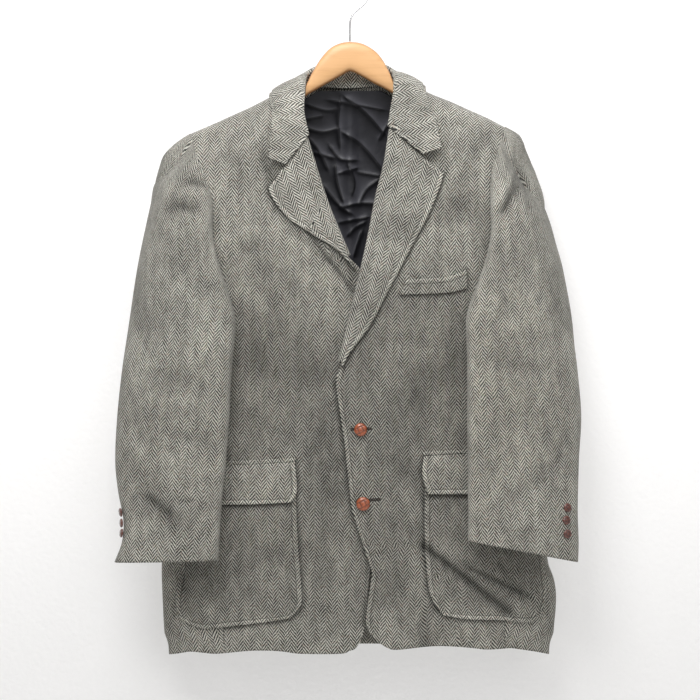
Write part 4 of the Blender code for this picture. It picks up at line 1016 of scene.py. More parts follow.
def make_collar(tweed: bpy.types.Material) -> None:
    """Stand and fall in one shell, folded over at the top; its weave's columns run from fold to edge."""
    close = np.linspace(0, 0.5, 30)
    middle = np.linspace(0.5, 9.5, 150)
    laid, near_end = collar_grid(np.concatenate([close[:-1], middle, 10 - close[-2::-1]]))
    blend = np.clip((np.arange(len(laid)) - COLLAR_ROWS + 1) / (len(laid) - COLLAR_ROWS), 0, 1)[:, None]
    crown = 3.5 * np.sin(np.pi * blend) * (1 - 0.8 * near_end)[None]
    laid[COLLAR_ROWS:] = clear_of_body(laid[COLLAR_ROWS:], (COLLAR_LIFT + crown)[COLLAR_ROWS:])
    along, down = np.gradient(laid, axis=1), np.gradient(laid, axis=0)
    shell = Shell("collar", laid, unit(np.cross(down, along)), FACING_WALL, rests_on=("back_left", "back_right"))
    shell.edge = column_distance(laid, True)
    ends = edges_of(laid, "start end")
    in_notch = column_distance(laid, True) < 24
    shell.edge = np.where(in_notch, np.minimum(shell.edge, ends), shell.edge)
    shell.edge[:6] = NO_EDGE
    shell.turn_edges(0.7)
    shell.build(tweed, fallen_weave(shell.outer, shell.out, len(laid) * 5 // 8, along=True))


# ---------------------------------------------------------------- sleeves

SLEEVE = {
    Side.LEFT: Table(
        "down in_x in_y in_z out_x out_y out_z half",
        (0, 160, -66, -492, 308, -6, -500, 27),
        (60, 161.5, -68, -552, 315, -18, -560, 26),
        (120, 161.5, -70, -612, 319.5, -30, -620, 25),
        (180, 161.5, -72, -672, 315, -42, -680, 24),
        (240, 161.5, -75, -732, 313, -52, -740, 23),
        (285, 161.5, -78, -772, 314, -58, -792, 22),
        (308, 161.5, -79, -787, 313, -60, -817, 22),
    ),
    Side.RIGHT: Table(
        "down in_x in_y in_z out_x out_y out_z half",
        (0, -158, -66, -500, -308, -6, -500, 27),
        (60, -163, -68, -560, -316, -18, -560, 26),
        (120, -166, -70, -620, -322, -30, -620, 25),
        (180, -171, -72, -680, -323.5, -42, -680, 24),
        (220, -174.5, -74, -720, -319, -49, -720, 23),
        (260, -177.5, -77, -760, -311.5, -55, -760, 22),
        (290, -179, -79, -790, -313.5, -58, -790, 22),
        (315, -180, -80, -814, -323, -60, -817, 22),
    ),
}
SLEEVE_POWER = 2.3
SLEEVE_RUN = Table(
    "turn ring away forward up pull",
    (0, 178, 0.75, 0.0, -0.66, 0.9),
    (30, 230, 0.62, 0.42, -0.62, 0.8),
    (60, 284, 0.3, 0.65, -0.65, 0.7),
    (90, 338, 0.0, 0.6, -0.75, 0.7),
    (105, 364, -0.2, 0.5, -0.8, 0.6),
    (120, 393, -0.3, 0.4, -0.85, 0.6),
    (150, 438, 0.0, 0.3, -0.95, 0.6),
    (165, 462, 0.2, 0.1, -0.95, 0.5),
    (180, 482, 0.5, 0.0, -0.85, 0.6),
    (195, 495, 0.6, -0.45, -0.65, 0.7),
    (206, 503, 0.55, -0.75, -0.35, 0.8),
    (214, 507, 0.5, -0.85, -0.2, 0.8),
    (222, 511, 0.6, -0.7, -0.3, 0.8),
    (235, 515, 0.7, -0.45, -0.4, 0.8),
    (270, 519, 0.72, -0.38, -0.5, 0.8),
    (300, 523, 0.72, -0.32, -0.55, 0.8),
    (330, 530, 0.72, -0.2, -0.62, 0.85),
    (360, 538, 0.75, 0.0, -0.66, 0.9),
)
HEAD_REACH = {Side.LEFT: 0.5, Side.RIGHT: 0.95}
HEAD_SHARE = 0.38
HEAD_START = 1.0
HEAD_SHIFT = {  # how far the outer side of each head is let out or drawn in
    Side.LEFT: Table(
        "z out", (-520, 0), (-480, 1.5), (-434, 3), (-406, 4.5), (-378, 4.5), (-350, 5.5), (-322, 4), (-308, 0.5),
        (-294, -5), (-280, -12), (-266, -19), (-252, -18), (-238, -13), (-224, -7), (-210, -2), (-195, 0),
    ),
    Side.RIGHT: Table(
        "z out", (-350, 0), (-322, 1), (-308, 3.5), (-294, 5), (-280, 0), (-266, -6), (-252, -7), (-238, -7),
        (-224, -2), (-205, 0),
    ),
}
HEAD_LEAN = 0.26  # how much the weave leans out near the shoulder, as a share of the rise
SLEEVE_SEAM = 0.7
TOP_SLEEVE = [-60, -40, -24, -12, -5, 0, 5, 12, 24, 38, 52, 66, 80, 93, 105, 115, 125]
UNDER_SLEEVE = [125, 139, 150, 158, 165, 171, 177, 183, 189, 196, 204, 212, 221, 234, 252, 275, 300]
UNDER_LAG = 70.0
UNDERARM_ROOM = 2.0
SLEEVE_CLEAR = Table("z gap", (-820, 8.5), (-660, 8.5), (-640, 7.0), (-600, 2.0), (-540, 1.2), (-200, 1.2))


def armhole_line(side: Side) -> Line:
    """The armhole all round, from the shoulder by the front and back."""
    front, back = Line(list(reversed(ARMHOLE_FRONT[side]))), Line(ARMHOLE_BACK[side])
    top_x = front.at(0.0)[0]
    ridge = np.array([[top_x, 0.0, SHOULDER.read(top_x, "z")]])
    down = front.at(np.linspace(0, 1, 13)[1:])
    up = back.at(np.linspace(0, 1, 13)[:-1])
    under = np.linspace(0, 1, 7)[1:-1]
    return Line(
        np.vstack(
            [
                ridge,
                on_body(down[:, 0], down[:, 1], Facing.FRONT),
                underarm_point(side, under, underarm_height(side, under)),
                on_body(up[:, 0], up[:, 1], Facing.BACK),
                ridge,
            ]
        )
    )


def ring_point(side: Side, down: Array, ring: Array) -> Array:
    """Points of the tube under the armhole; ring is 0 at the inner fold, 270 in front and 90 behind."""
    read = {name: SLEEVE[side].read(down, name) for name in SLEEVE[side].names[1:]}
    inner = np.stack([read["in_x"], read["in_y"], read["in_z"]], axis=-1)
    outer = np.stack([read["out_x"], read["out_y"], read["out_z"]], axis=-1)
    middle, arm = (inner + outer) / 2, (inner - outer) / 2
    c, s = np.cos(np.radians(ring)), np.sin(np.radians(ring))
    along = np.copysign(np.abs(c) ** (2 / SLEEVE_POWER), c)[..., None]
    across = np.copysign(np.abs(s) ** (2 / SLEEVE_POWER), s)[..., None]
    deep = unit(np.stack([-arm[..., 1], arm[..., 0], np.zeros(arm.shape[:-1])], axis=-1))
    deep = deep * np.where(deep[..., 1:2] < 0, -1.0, 1.0)
    return middle + arm * along + deep * read["half"][..., None] * across


def sleeve_point(side: Side, hole: Line, turn: Array, v: Array) -> Array:
    """Points of a sleeve at a place round the armhole and a share of the way down."""
    length = float(SLEEVE[side].rows[-1][0])
    part = np.mod(turn, 360.0)
    ring, away, forward, up, pull = (SLEEVE_RUN.read(part, name) for name in SLEEVE_RUN.names[1:])
    lag = UNDER_LAG * np.sin(np.pi * np.clip((ring - 380) / 150, 0, 1)) ** 2
    share = np.clip((v - HEAD_SHARE) / (1 - HEAD_SHARE), 0, 1)
    tube = ring_point(side, lag + share * (length - lag), ring)
    start = hole.at(part / 360)
    start = start + unit(gradient(start)) * HEAD_START
    end = ring_point(side, lag, ring)
    span = np.linalg.norm(end - start, axis=-1, keepdims=True)
    leave = unit(np.stack([side.sign * away * HEAD_REACH[side], -forward, up], axis=-1)) * span * pull[..., None]
    arrive = unit(ring_point(side, lag + 10, ring) - end) * span
    t = np.clip(v / HEAD_SHARE, 0, 1)
    head = hermite(start, leave, end, arrive, t[..., None])
    lay = LAY_GAP + (HEAD_START - LAY_GAP) * (1 - smooth(t / 0.3))
    lay = lay + UNDERARM_ROOM * np.maximum(np.sin(np.pi * (part - 125) / 110), 0) * smooth(t / 0.2)
    on_tube = v >= HEAD_SHARE
    p = np.where(on_tube[..., None], tube, head)
    gap = SLEEVE_CLEAR.read(p[..., 2], "gap")
    return clear_of_body(p, np.where(on_tube, gap, np.maximum(lay, gap)))


def finer(stations: Sequence[float], count: int) -> Array:
    """The same uneven run of stations, with count steps for each one."""
    keys = np.arange(len(stations))
    return np.interp(np.linspace(0, len(stations) - 1, (len(stations) - 1) * count + 1), keys, stations)


def make_sleeves(tweed: bpy.types.Material) -> None:
    """Top and under sleeves: from the armhole over the head, then down a flattened tube."""
    count = 5
    for side in Side:
        hole = armhole_line(side)
        head, tube = spaced(230, 3.4), spaced(320, 3.4)
        vs = np.concatenate([head * HEAD_SHARE, HEAD_SHARE + tube[1:] * (1 - HEAD_SHARE)])
        for name, stations in (("top", TOP_SLEEVE), ("under", UNDER_SLEEVE)):
            turns = finer(stations, count)
            before, after = 2 * turns[0] - turns[1], 2 * turns[-1] - turns[-2]
            turns = np.concatenate([[before], turns, [after]])
            turn, v = np.meshgrid(turns, vs)
            laid = sleeve_point(side, hole, turn, v)
            along = laid[:, 2:] - laid[:, :-2]
            down = np.gradient(laid, axis=0)[:, 1:-1]
            p, out = laid[:, 1:-1], unit(np.cross(along, down)) * side.sign
            p[:, 0] += unit(along[:, 0]) * SLEEVE_SEAM / 4
            p[:, -1] -= unit(along[:, -1]) * SLEEVE_SEAM / 4
            seam = np.minimum(row_distance(p, False), row_distance(p, True))
            sunk = 0.9 * np.exp(-((seam / 2.5) ** 2))
            folds = fold_depth(f"sleeve_{side.value}", p[..., 0], p[..., 2]) * smooth(-out[..., 1] * 2)
            loose = np.minimum(softness(p[..., 0] * 1.2, p[..., 2], 5.0 * side.sign), 0.7)
            loose = loose * smooth(v[:, 1:-1] / 0.1)
            node = f"{name}_sleeve_{side.value}"
            # Painted shade in the folds, with the left sleeve painted lighter and the right one darker for how the
            # light falls on them.
            shade = dimmed(folds) * (1.07 if side is Side.LEFT else 0.98)
            shell = Shell(node, p + out * (loose - folds - sunk)[..., None], out, shade=shade)
            shift = HEAD_SHIFT[side].read(shell.outer[..., 2], "out")
            shell.outer[..., 0] += side.sign * shift * smooth((np.abs(shell.outer[..., 0]) - 205) / 60)
            shell.settle()
            shell.worn = 0.4 * smooth((np.abs(out[..., 0]) - 0.45) / 0.45)
            weave = fallen_weave(shell.outer, unit(np.cross(along, down)) * side.sign, len(head) - 1)
            rise = np.maximum(shell.outer[..., 2] + 305, 0)
            weave[..., 0] += HEAD_LEAN * side.sign * np.hypot(rise, 12.0)
            shell.build(tweed, weave)


# ---------------------------------------------------------------- pockets and lining

POCKET = {
    Side.LEFT: {
        "inner": [(103, -700), (102.8, -784), (106, -834), (109, -858), (118, -878.5), (129, -891.5)],
        "bottom": [(129, -891.5), (162, -897), (206, -899), (232, -903), (252, -903), (264, -893)],
        "outer": [(260, -700), (262, -760), (266, -820), (271, -860), (264, -893)],
    },
    Side.RIGHT: {
        "inner": [(-75, -700), (-74, -745), (-71, -804.5), (-67, -853), (-68, -879), (-82.8, -895.6)],
        "bottom": [(-82.8, -895.6), (-109, -900), (-170, -908), (-208, -912), (-234.6, -900)],
        "outer": [(-233, -700), (-232, -760), (-233, -820), (-240, -870), (-234.6, -900)],
    },
}
FLAP = {
    Side.LEFT: {
        "top": [(101.7, -672), (157, -669.3), (250, -667.3)],
        "inner": [(101.7, -672), (99, -697), (107.6, -724.5)],
        "bottom": [(107.6, -724.5), (160, -724.5), (250, -724.5)],
        "outer": [(250, -667.3), (252, -700), (250, -724.5)],
    },
    Side.RIGHT: {
        "top": [(-76, -680.3), (-168, -685.3), (-232, -685.3)],
        "inner": [(-76, -680.3), (-73, -720), (-81.8, -736)],
        "bottom": [(-81.8, -736), (-150, -739), (-232, -739)],
        "outer": [(-232, -685.3), (-235, -715), (-232, -739)],
    },
}
FLAP_WELT = {
    Side.LEFT: [(100.7, -666), (157, -663.5), (250, -661.5)],
    Side.RIGHT: [(-75, -674.5), (-168, -679.5), (-232, -679.5)],
}
FLAP_WELT_HEIGHT = 5.4
CHEST_WELT = {
    "top": [(76.6, -429), (132.5, -425), (160, -415.5)],
    "bottom": [(68.6, -449.5), (132.5, -447), (161, -441)],
}
POCKET_GAP = {Side.LEFT: 1.8, Side.RIGHT: 0.9}
POCKET_FULLNESS = 1.5
# The sharp creases of the left pocket, drawn as dark lines of painted shade.
POCKET_CREASES = [[(106, -799), (162, -841), (220, -888)], [(166, -827), (236, -861)]]  # the sharp ones


def laid_outlines(side: Side) -> list[list[Point2]]:
    """The edges of all that lies on a front, beside which a painted shadow falls."""
    pocket, flap = POCKET[side], FLAP[side]
    lines = [pocket["inner"], pocket["bottom"], pocket["outer"], flap["inner"], LAPEL_EDGE[side]]
    if side is Side.LEFT:
        lines += [CHEST_WELT["bottom"], [CHEST_WELT["bottom"][-1], CHEST_WELT["top"][-1]]]
    else:
        lines += [shifted(FRONT_EDGE[Side.LEFT], -1.0)]
    return lines


def patch_of(edges: dict[str, list[Point2]], us: Array, vs: Array) -> Array:
    """The flat points of a piece whose inner and outer edges are given from the top down."""
    return coons(
        Line(edges["bottom"]),
        Line(edges["top"]),
        Line(edges["inner"][::-1]),
        Line(edges["outer"][::-1]),
        us,
        vs,
    )


def make_pockets(tweed: bpy.types.Material) -> None:
    """The patch pockets with their flaps and the welts over them, and the chest welt."""
    for side in Side:
        edges = dict(POCKET[side], top=[POCKET[side]["inner"][0], POCKET[side]["outer"][0]])
        us, vs = spaced(160, 2.4, (True, True)), spaced(200, 2.6, (True, False))
        base = POCKET_GAP[side] + LAID_WALL
        full = np.sin(np.pi * us)[None] * np.sin(np.pi * np.minimum(vs * 1.2, 1.0))[:, None]
        flat = patch_of(edges, us, vs)
        node = f"pocket_{side.value}"
        shell = laid_shell(node, flat, side, base + POCKET_FULLNESS * full, LAID_WALL, "start end bottom")
        shell.turn_edges(0.9)
        # Painted shade in the folds and down the front, a painted shadow under the flap, and on the left dark
        # painted lines along the sharp creases.
        shell.shade = dimmed(fold_depth(f"front_{side.value}", flat[..., 0], flat[..., 1]))
        shell.shade = shell.shade * cast(flat, [FLAP[side]["bottom"]], 6.0, 0.6) * low_shade(flat[..., 1])
        if side is Side.LEFT:
            shell.shade = shell.shade * cast(flat, POCKET_CREASES, 3.0, 0.4)
        shell.rests_on = (f"front_{side.value}",)
        shell.build(tweed, upright_weave(shell.outer, side.sign * 150))
        us, vs = spaced(150, 2.4, (True, True)), spaced(56, 2.0, (True, False))
        on_pocket = base + POCKET_FULLNESS * 0.6 * np.sin(np.pi * us)[None]
        over = base + on_pocket * smooth((1 - vs) * 2.6)[:, None]
        node = f"flap_{side.value}"
        shell = laid_shell(node, patch_of(FLAP[side], us, vs), side, over, LAID_WALL, "start bottom")
        shell.turn_edges(0.8)
        shell.rests_on = (f"pocket_{side.value}",)
        shell.build(tweed, upright_weave(shell.outer, side.sign * 150))
        top = FLAP_WELT[side]
        low = [(x, z - FLAP_WELT_HEIGHT) for x, z in top]
        us, vs = spaced(150, 2.4), np.linspace(0, 1, 7)
        flat = coons(Line(low), Line(top), Line([low[0], top[0]]), Line([low[-1], top[-1]]), us, vs)
        round_up = 0.7 * np.sin(np.pi * vs)[:, None] * np.ones(len(us))[None]
        node = f"flap_welt_{side.value}"
        shell = laid_shell(node, flat, side, LAY_GAP + LAID_WALL + round_up, LAID_WALL)
        shell.rests_on = (f"front_{side.value}",)
        shell.build(tweed, upright_weave(shell.outer, side.sign * 150))
    top, low = CHEST_WELT["top"], CHEST_WELT["bottom"]
    us, vs = spaced(93, 1.8), spaced(22, 1.6, (True, True))
    flat = coons(Line(low), Line(top), Line([low[0], top[0]]), Line([low[-1], top[-1]]), us, vs)
    shell = laid_shell("chest_welt", flat, Side.LEFT, LAY_GAP + LAID_WALL, LAID_WALL, "top")
    shell.turn_edges(0.8)
    shell.rests_on = ("front_left",)
    shell.build(tweed, upright_weave(shell.outer, 110))


LINING_ROWS = [(-480, 112), (-400, 112), (-320, 110), (-240, 102), (-190, 80), (-173, 62), (-161.5, 44)]
LINING_PLEAT = 5.0
LINING_GAP = 1.0
# Creases of the lining: its points by (x, z), how far they spread and how deep they are.
LINING_CREASES = [  # points, width and depth of each
    ([(-12, -166), (20, -190), (52, -226)], 7.0, 3.0),
    ([(-14, -168), (-17, -205), (-14, -245)], 6.0, 2.6),
    ([(-17, -216), (14, -236), (41, -267), (56, -290)], 6.0, 2.8),
    ([(-66, -212), (-40, -219), (-14, -214)], 5.0, 2.2),
    ([(-66, -202), (-38, -197)], 5.0, 1.8),
    ([(-31, -236), (-14, -257), (12, -260)], 5.0, 2.4),
    ([(-52, -248), (-20, -257)], 4.5, 1.8),
    ([(-21, -262), (-18, -291), (-8, -322)], 6.0, 2.6),
    ([(-40, -292), (-16, -322), (6, -338)], 6.0, 2.8),
    ([(-16, -327), (14, -320), (45, -321)], 5.0, 2.4),
    ([(12, -322), (24, -300), (44, -284)], 5.0, 2.2),
    ([(8, -276), (44, -282)], 4.0, 1.8),
    ([(-19, -279), (12, -270)], 4.0, 1.7),
    ([(-18, -348), (28, -339)], 5.0, 2.2),
    ([(-5, -368), (8, -354), (24, -345)], 5.0, 2.2),
    ([(4, -398), (10, -378), (18, -356)], 4.5, 2.0),
    ([(-36, -174), (0, -179), (54, -190)], 5.0, 1.8),
    ([(-64, -180), (-34, -189), (-14, -186)], 5.0, 2.0),
    ([(40, -232), (50, -214), (60, -200)], 4.0, 1.7),
    ([(-60, -226), (-44, -246), (-30, -276)], 5.0, 2.2),
    ([(-4, -262), (6, -290), (2, -312)], 5.0, 2.0),
    ([(-30, -330), (-14, -366), (-2, -400)], 6.0, 2.4),
    ([(-60, -380), (0, -420), (60, -440)], 9.0, 3.0),
]


def creased(x: Array, z: Array) -> tuple[Array, Array]:
    """How far the sharp creases of the lining draw it in, and the painted light and shade that they give it."""
    depth, tone = np.zeros(x.shape), np.zeros(x.shape)
    here = np.stack([x, z], axis=-1)
    for k, (points, wide, deep) in enumerate(LINING_CREASES):
        fine = Line(points).at(np.linspace(0, 1, 40))
        away, share, hand = np.full(x.shape, 1e9), np.zeros(x.shape), np.zeros(x.shape)
        for i, (a, b) in enumerate(zip(fine, fine[1:])):
            run = b - a
            part = np.clip(np.sum((here - a) * run, axis=-1) / max(float(run @ run), 1e-9), 0, 1)
            off = here - a - part[..., None] * run
            near = np.linalg.norm(off, axis=-1)
            cross = run[0] * off[..., 1] - run[1] * off[..., 0]
            side = np.clip(cross / max(float(np.linalg.norm(run)), 1e-9) / 1.8, -1, 1)
            hand = np.where(near < away, side, hand)
            share = np.where(near < away, (i + part) / 39, share)
            away = np.minimum(away, near)
        fade = smooth(share / 0.15) * smooth((1 - share) / 0.15) * 0.8 + 0.2
        depth += deep * fade * np.exp(-away / (0.6 * wide))
        # Painted highlight on one side of each crease and a dark painted line of shade in its core.
        lit = 0.3 if k % 3 else 0.45
        tone += fade * (lit * hand * np.exp(-away / (1.2 * wide)) - 0.55 * np.exp(-((away / 1.3) ** 2)))
    return depth, tone


def make_lining(satin: bpy.types.Material) -> None:
    """The wrinkled lining of the back, where it shows in the open neck."""
    edge = Line([(x, z) for z, x in LINING_ROWS])
    us, vs = spaced(224, 1.2), spaced(330, 1.3)
    side = edge.at(vs)
    x = side[:, 0][:, None] * (2 * us - 1)[None]
    z = np.broadcast_to(side[:, 1][:, None], x.shape)
    pleat = LINING_PLEAT * np.exp(-((x / 9) ** 2)) * smooth((-150 - z) / 60)
    depth, tone = creased(x, z)
    wrinkles = depth * smooth((112 - np.abs(x)) / 12) * smooth((-160 - z) / 12)
    over = -(WALL + LINING_GAP + pleat + wrinkles)
    flat = np.stack([x, z], axis=-1)
    shell = laid_shell("lining_back", flat, None, over, LINING_WALL, facing=Facing.BACK)
    shell.rests_on = ("back_left", "back_right")
    # The painted light and shade of the creases, about a middle grey.
    shell.shade = np.clip(0.5 + tone, 0, 1)
    shell.build(satin)


# ---------------------------------------------------------------- buttons and buttonholes


def lathe(bm: bmesh.types.BMesh, base: Vector, out: Vector, profile: Sequence[Point2], count: int) -> None:
    """Turns a profile of (radius, height) pairs, which starts and ends on the axis, round out."""
    across = out.orthogonal().normalized()
    other = out.cross(across)
    ends = [bm.verts.new(base + out * profile[0][1]), bm.verts.new(base + out * profile[-1][1])]
    rings = []
    for radius, height in profile[1:-1]:
        rings.append([])
        for i in range(count):
            turn = math.tau * i / count
            spoke = across * math.cos(turn) + other * math.sin(turn)
            rings[-1].append(bm.verts.new(base + out * height + spoke * radius))
    for i in range(count):
        j = (i + 1) % count
        bm.faces.new([ends[0], rings[0][j], rings[0][i]])
        bm.faces.new([ends[1], rings[-1][i], rings[-1][j]])
        for low, high in zip(rings, rings[1:]):
            bm.faces.new([low[i], low[j], high[j], high[i]])


def button_line(radius: float, thick: float) -> list[Point2]:
    """The profile of a domed leather button."""
    points = [
        (0, 0), (radius * 0.6, 0), (radius * 0.93, thick * 0.16), (radius, thick * 0.4),
        (radius * 0.93, thick * 0.66), (radius * 0.6, thick * 0.92), (0, thick),
    ]
    fine = Line(points).at(np.linspace(0, 1, 21))
    fine[0], fine[-1] = (0, 0), (0, thick)
    return [(max(float(r), 0.05 if 0 < i < 20 else 0.0), float(h)) for i, (r, h) in enumerate(fine)]


@dataclass
class Button:
    """A leather button with its crossed strips, on a shank of thread.

    Attributes:
        node: The solid that it stands for.
        base: Where it stands, in mm.
        out: The way it faces.
        radius: Half its width.
        thick: Its height.
        turn: How its strips are turned, in degrees.
    """

    node: str
    base: Array
    out: Array
    radius: float
    thick: float
    turn: float = 20.0

    def build(self, leather: bpy.types.Material) -> None:
        """Makes the object, with grooves between the woven strips."""
        out = Vector(self.out).normalized()
        bm = bmesh.new()
        lathe(bm, Vector(self.base), out, button_line(self.radius, self.thick), 40)
        across = out.orthogonal().normalized()
        other = out.cross(across)
        for vert in bm.verts:
            rest = vert.co - Vector(self.base)
            a, b, high = rest.dot(across), rest.dot(other), rest.dot(out)
            turn = math.radians(self.turn)
            a, b = a * math.cos(turn) - b * math.sin(turn), a * math.sin(turn) + b * math.cos(turn)
            if high > self.thick * 0.3:
                vert.co -= out * self.groove(a / self.radius, b / self.radius) * self.thick * 0.13
        bmesh.ops.scale(bm, verts=bm.verts, vec=(MM, MM, MM))
        bmesh.ops.recalc_face_normals(bm, faces=bm.faces)
        made = mesh_object(f"look_{self.node}", bm, leather)
        values = []
        for vert in made.data.vertices:
            rest = vert.co / MM - Vector(self.base)
            a, b = rest.dot(across), rest.dot(other)
            turn = math.radians(self.turn)
            a, b = a * math.cos(turn) - b * math.sin(turn), a * math.sin(turn) + b * math.cos(turn)
            values.append(self.groove(a / self.radius, b / self.radius))
        give_value(made, "groove", np.array(values))
        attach(made, "root")
        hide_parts(self.node)

    @staticmethod
    def groove(a: float, b: float) -> float:
        """How deep in a groove between two strips a place on the button is, from 0 to 1."""
        lines = [abs(a - 0.36), abs(a + 0.36)] if abs(b) < 0.4 else [abs(b - 0.42), abs(b + 0.42)]
        lines.append(abs(abs(b) - 0.4) + 0.02)
        return math.exp(-((min(lines) / 0.09) ** 2))


FRONT_BUTTONS = {"button_upper": (14.5, -635.4, 9.0), "button_lower": (18.0, -737.6, 9.5)}
FRONT_BUTTON_THICK = 7.0
BUTTON_GAP = 0.5
CUFF_BUTTONS = {
    Side.LEFT: [(-742.0, 0.45, -0.89, 0.3), (-759.0, 0.42, -0.91, 0.3), (-777.8, 0.42, -0.91, 0.3)],
    Side.RIGHT: [(-748.6, -0.96, -0.28, 0.9), (-763.4, -0.96, -0.28, 1.5), (-777.4, -0.96, -0.28, 0.9)],
}
CUFF_BUTTON_RADIUS = 6.2
CUFF_BUTTON_THICK = 4.0
# Across each buttonhole: from x, to x, height, how far it slopes, and how far its bars lie apart.
BUTTONHOLES = {"upper": (1.0, 28.0, -635.0, 1.0), "lower": (8.0, 40.0, -733.5, 2.0)}


def sleeve_spot(side: Side, z: float, facing: Array) -> tuple[Array, Array]:
    """The place of the sleeve at a height that lies farthest the way it faces, and its way out."""
    rings = np.linspace(180, 300, 121)
    low, high = np.zeros(121), np.full(121, float(SLEEVE[side].rows[-1][0]))
    for _ in range(24):
        middle = (low + high) / 2
        above = ring_point(side, middle, rings)[..., 2] > z
        low, high = np.where(above, middle, low), np.where(above, high, middle)
    p = ring_point(side, low, rings)
    best = int(np.argmax(p[:, 0] * facing[0] + p[:, 1] * facing[1]))
    down, ring = np.array(low[best]), np.array(rings[best])
    along = ring_point(side, down, ring + 2) - ring_point(side, down, ring - 2)
    below = ring_point(side, down + 4, ring) - ring_point(side, down - 4, ring)
    return p[best], unit(np.cross(along, below)) * side.sign


def make_buttons(leather: bpy.types.Material, cuff_leather: bpy.types.Material) -> None:
    """The two front buttons and the three at each cuff."""
    for node, (x, z, radius) in FRONT_BUTTONS.items():
        base = on_body(np.array(x), np.array(z), Facing.FRONT)
        out = unit(gradient(base))
        high = float(front_lift(Side.LEFT, np.array(x), np.array(z))) + BUTTON_GAP
        Button(node, base + out * high, out, radius, FRONT_BUTTON_THICK).build(leather)
    for side in Side:
        for i, (z, face_x, face_y, gap) in enumerate(CUFF_BUTTONS[side]):
            spot, out = sleeve_spot(side, z, unit(np.array([face_x, face_y])))
            node = f"cuff_button_{side.value}_{i + 1}"
            Button(node, spot + out * gap, out, CUFF_BUTTON_RADIUS, CUFF_BUTTON_THICK, 35.0 * i).build(cuff_leather)


def make_buttonholes(thread: bpy.types.Material) -> None:
    """The worked buttonholes of the left front: a bar of thread each side of a slit and round its end."""
    for name, (start, end, z, slope) in BUTTONHOLES.items():
        bm = bmesh.new()
        half, wire = 1.1, 0.7
        turns = np.linspace(-90, 90, 9)
        loop = [(start, -half), (end, -half)]
        loop += [(end + half * math.cos(math.radians(t)), half * math.sin(math.radians(t))) for t in turns[1:-1]]
        loop += [(end, half), (start, half)]
        fine = Line(loop).at(np.linspace(0, 1, 60))
        x = fine[:, 0]
        height = z + fine[:, 1] + slope * (x - start) / (end - start)
        base = on_body(x, height, Facing.FRONT)
        out = unit(gradient(base))
        lift = front_lift(Side.LEFT, x, height)
        points = base + out * (lift + 0.5)[:, None]
        add_tube(bm, points, wire, 6)
        made = mesh_object(f"look_buttonhole_{name}", bm, thread)
        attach(made, "root")


def add_tube(bm: bmesh.types.BMesh, points: Array, radius: float, sides: int) -> None:
    """A round wire through points given in mm, closed at both ends."""
    rings = []
    path = [Vector(p) for p in points]
    for i, p in enumerate(path):
        along = (path[min(i + 1, len(path) - 1)] - path[max(i - 1, 0)]).normalized()
        across = Vector((0, 1, 0)).cross(along).normalized()
        other = along.cross(across)
        ring = []
        for k in range(sides):
            turn = math.tau * k / sides
            ring.append(bm.verts.new((p + (across * math.cos(turn) + other * math.sin(turn)) * radius) * MM))
        rings.append(ring)
    for low, high in zip(rings, rings[1:]):
        for i in range(sides):
            j = (i + 1) % sides
            bm.faces.new([low[i], low[j], high[j], high[i]])
    bm.faces.new(rings[0])
    bm.faces.new(rings[-1][::-1])
    bmesh.ops.recalc_face_normals(bm, faces=bm.faces)


# ---------------------------------------------------------------- hanger

HANGER = Table(
    "x top bottom half",
    (-205, -224.5, -235.5, 6.0),
    (-190, -215.6, -230.6, 8.5),
    (-160, -202, -218, 10.0),
    (-130, -190.5, -207.5, 10.5),
    (-100, -180, -196.5, 11.0),
    (-75, -170, -184.5, 10.0),
    (-62, -157.5, -173, 9.4),
    (-52.4, -139, -167, 9.6),
    (-40, -119, -160, 10.4),
    (-27.6, -105.5, -153, 11.0),
    (-14, -98.5, -145.5, 11.0),
    (0, -96.6, -138.5, 11.0),
    (17, -99, -146, 11.0),
    (34.5, -109, -156, 11.0),
    (45, -121, -161, 10.2),
    (54, -137, -166, 9.6),
    (62, -154.5, -171, 9.4),
    (75, -166.5, -181.5, 10.0),
    (100, -175, -191.5, 11.0),
    (130, -184, -201, 10.5),
    (160, -194, -210, 10.0),
    (190, -207.2, -222.2, 8.5),
    (205, -215, -226, 6.0),
)
HANGER_POWER = 3.2
HOOK_WIRE = 1.5
HOOK_RADIUS = 27.0
HOOK_CENTRE = -25.5
HOOK_STEM = [(0, -96.2), (0, -88), (0, -78), (0.5, -68), (3.5, -59.5), (10, -52.8)]


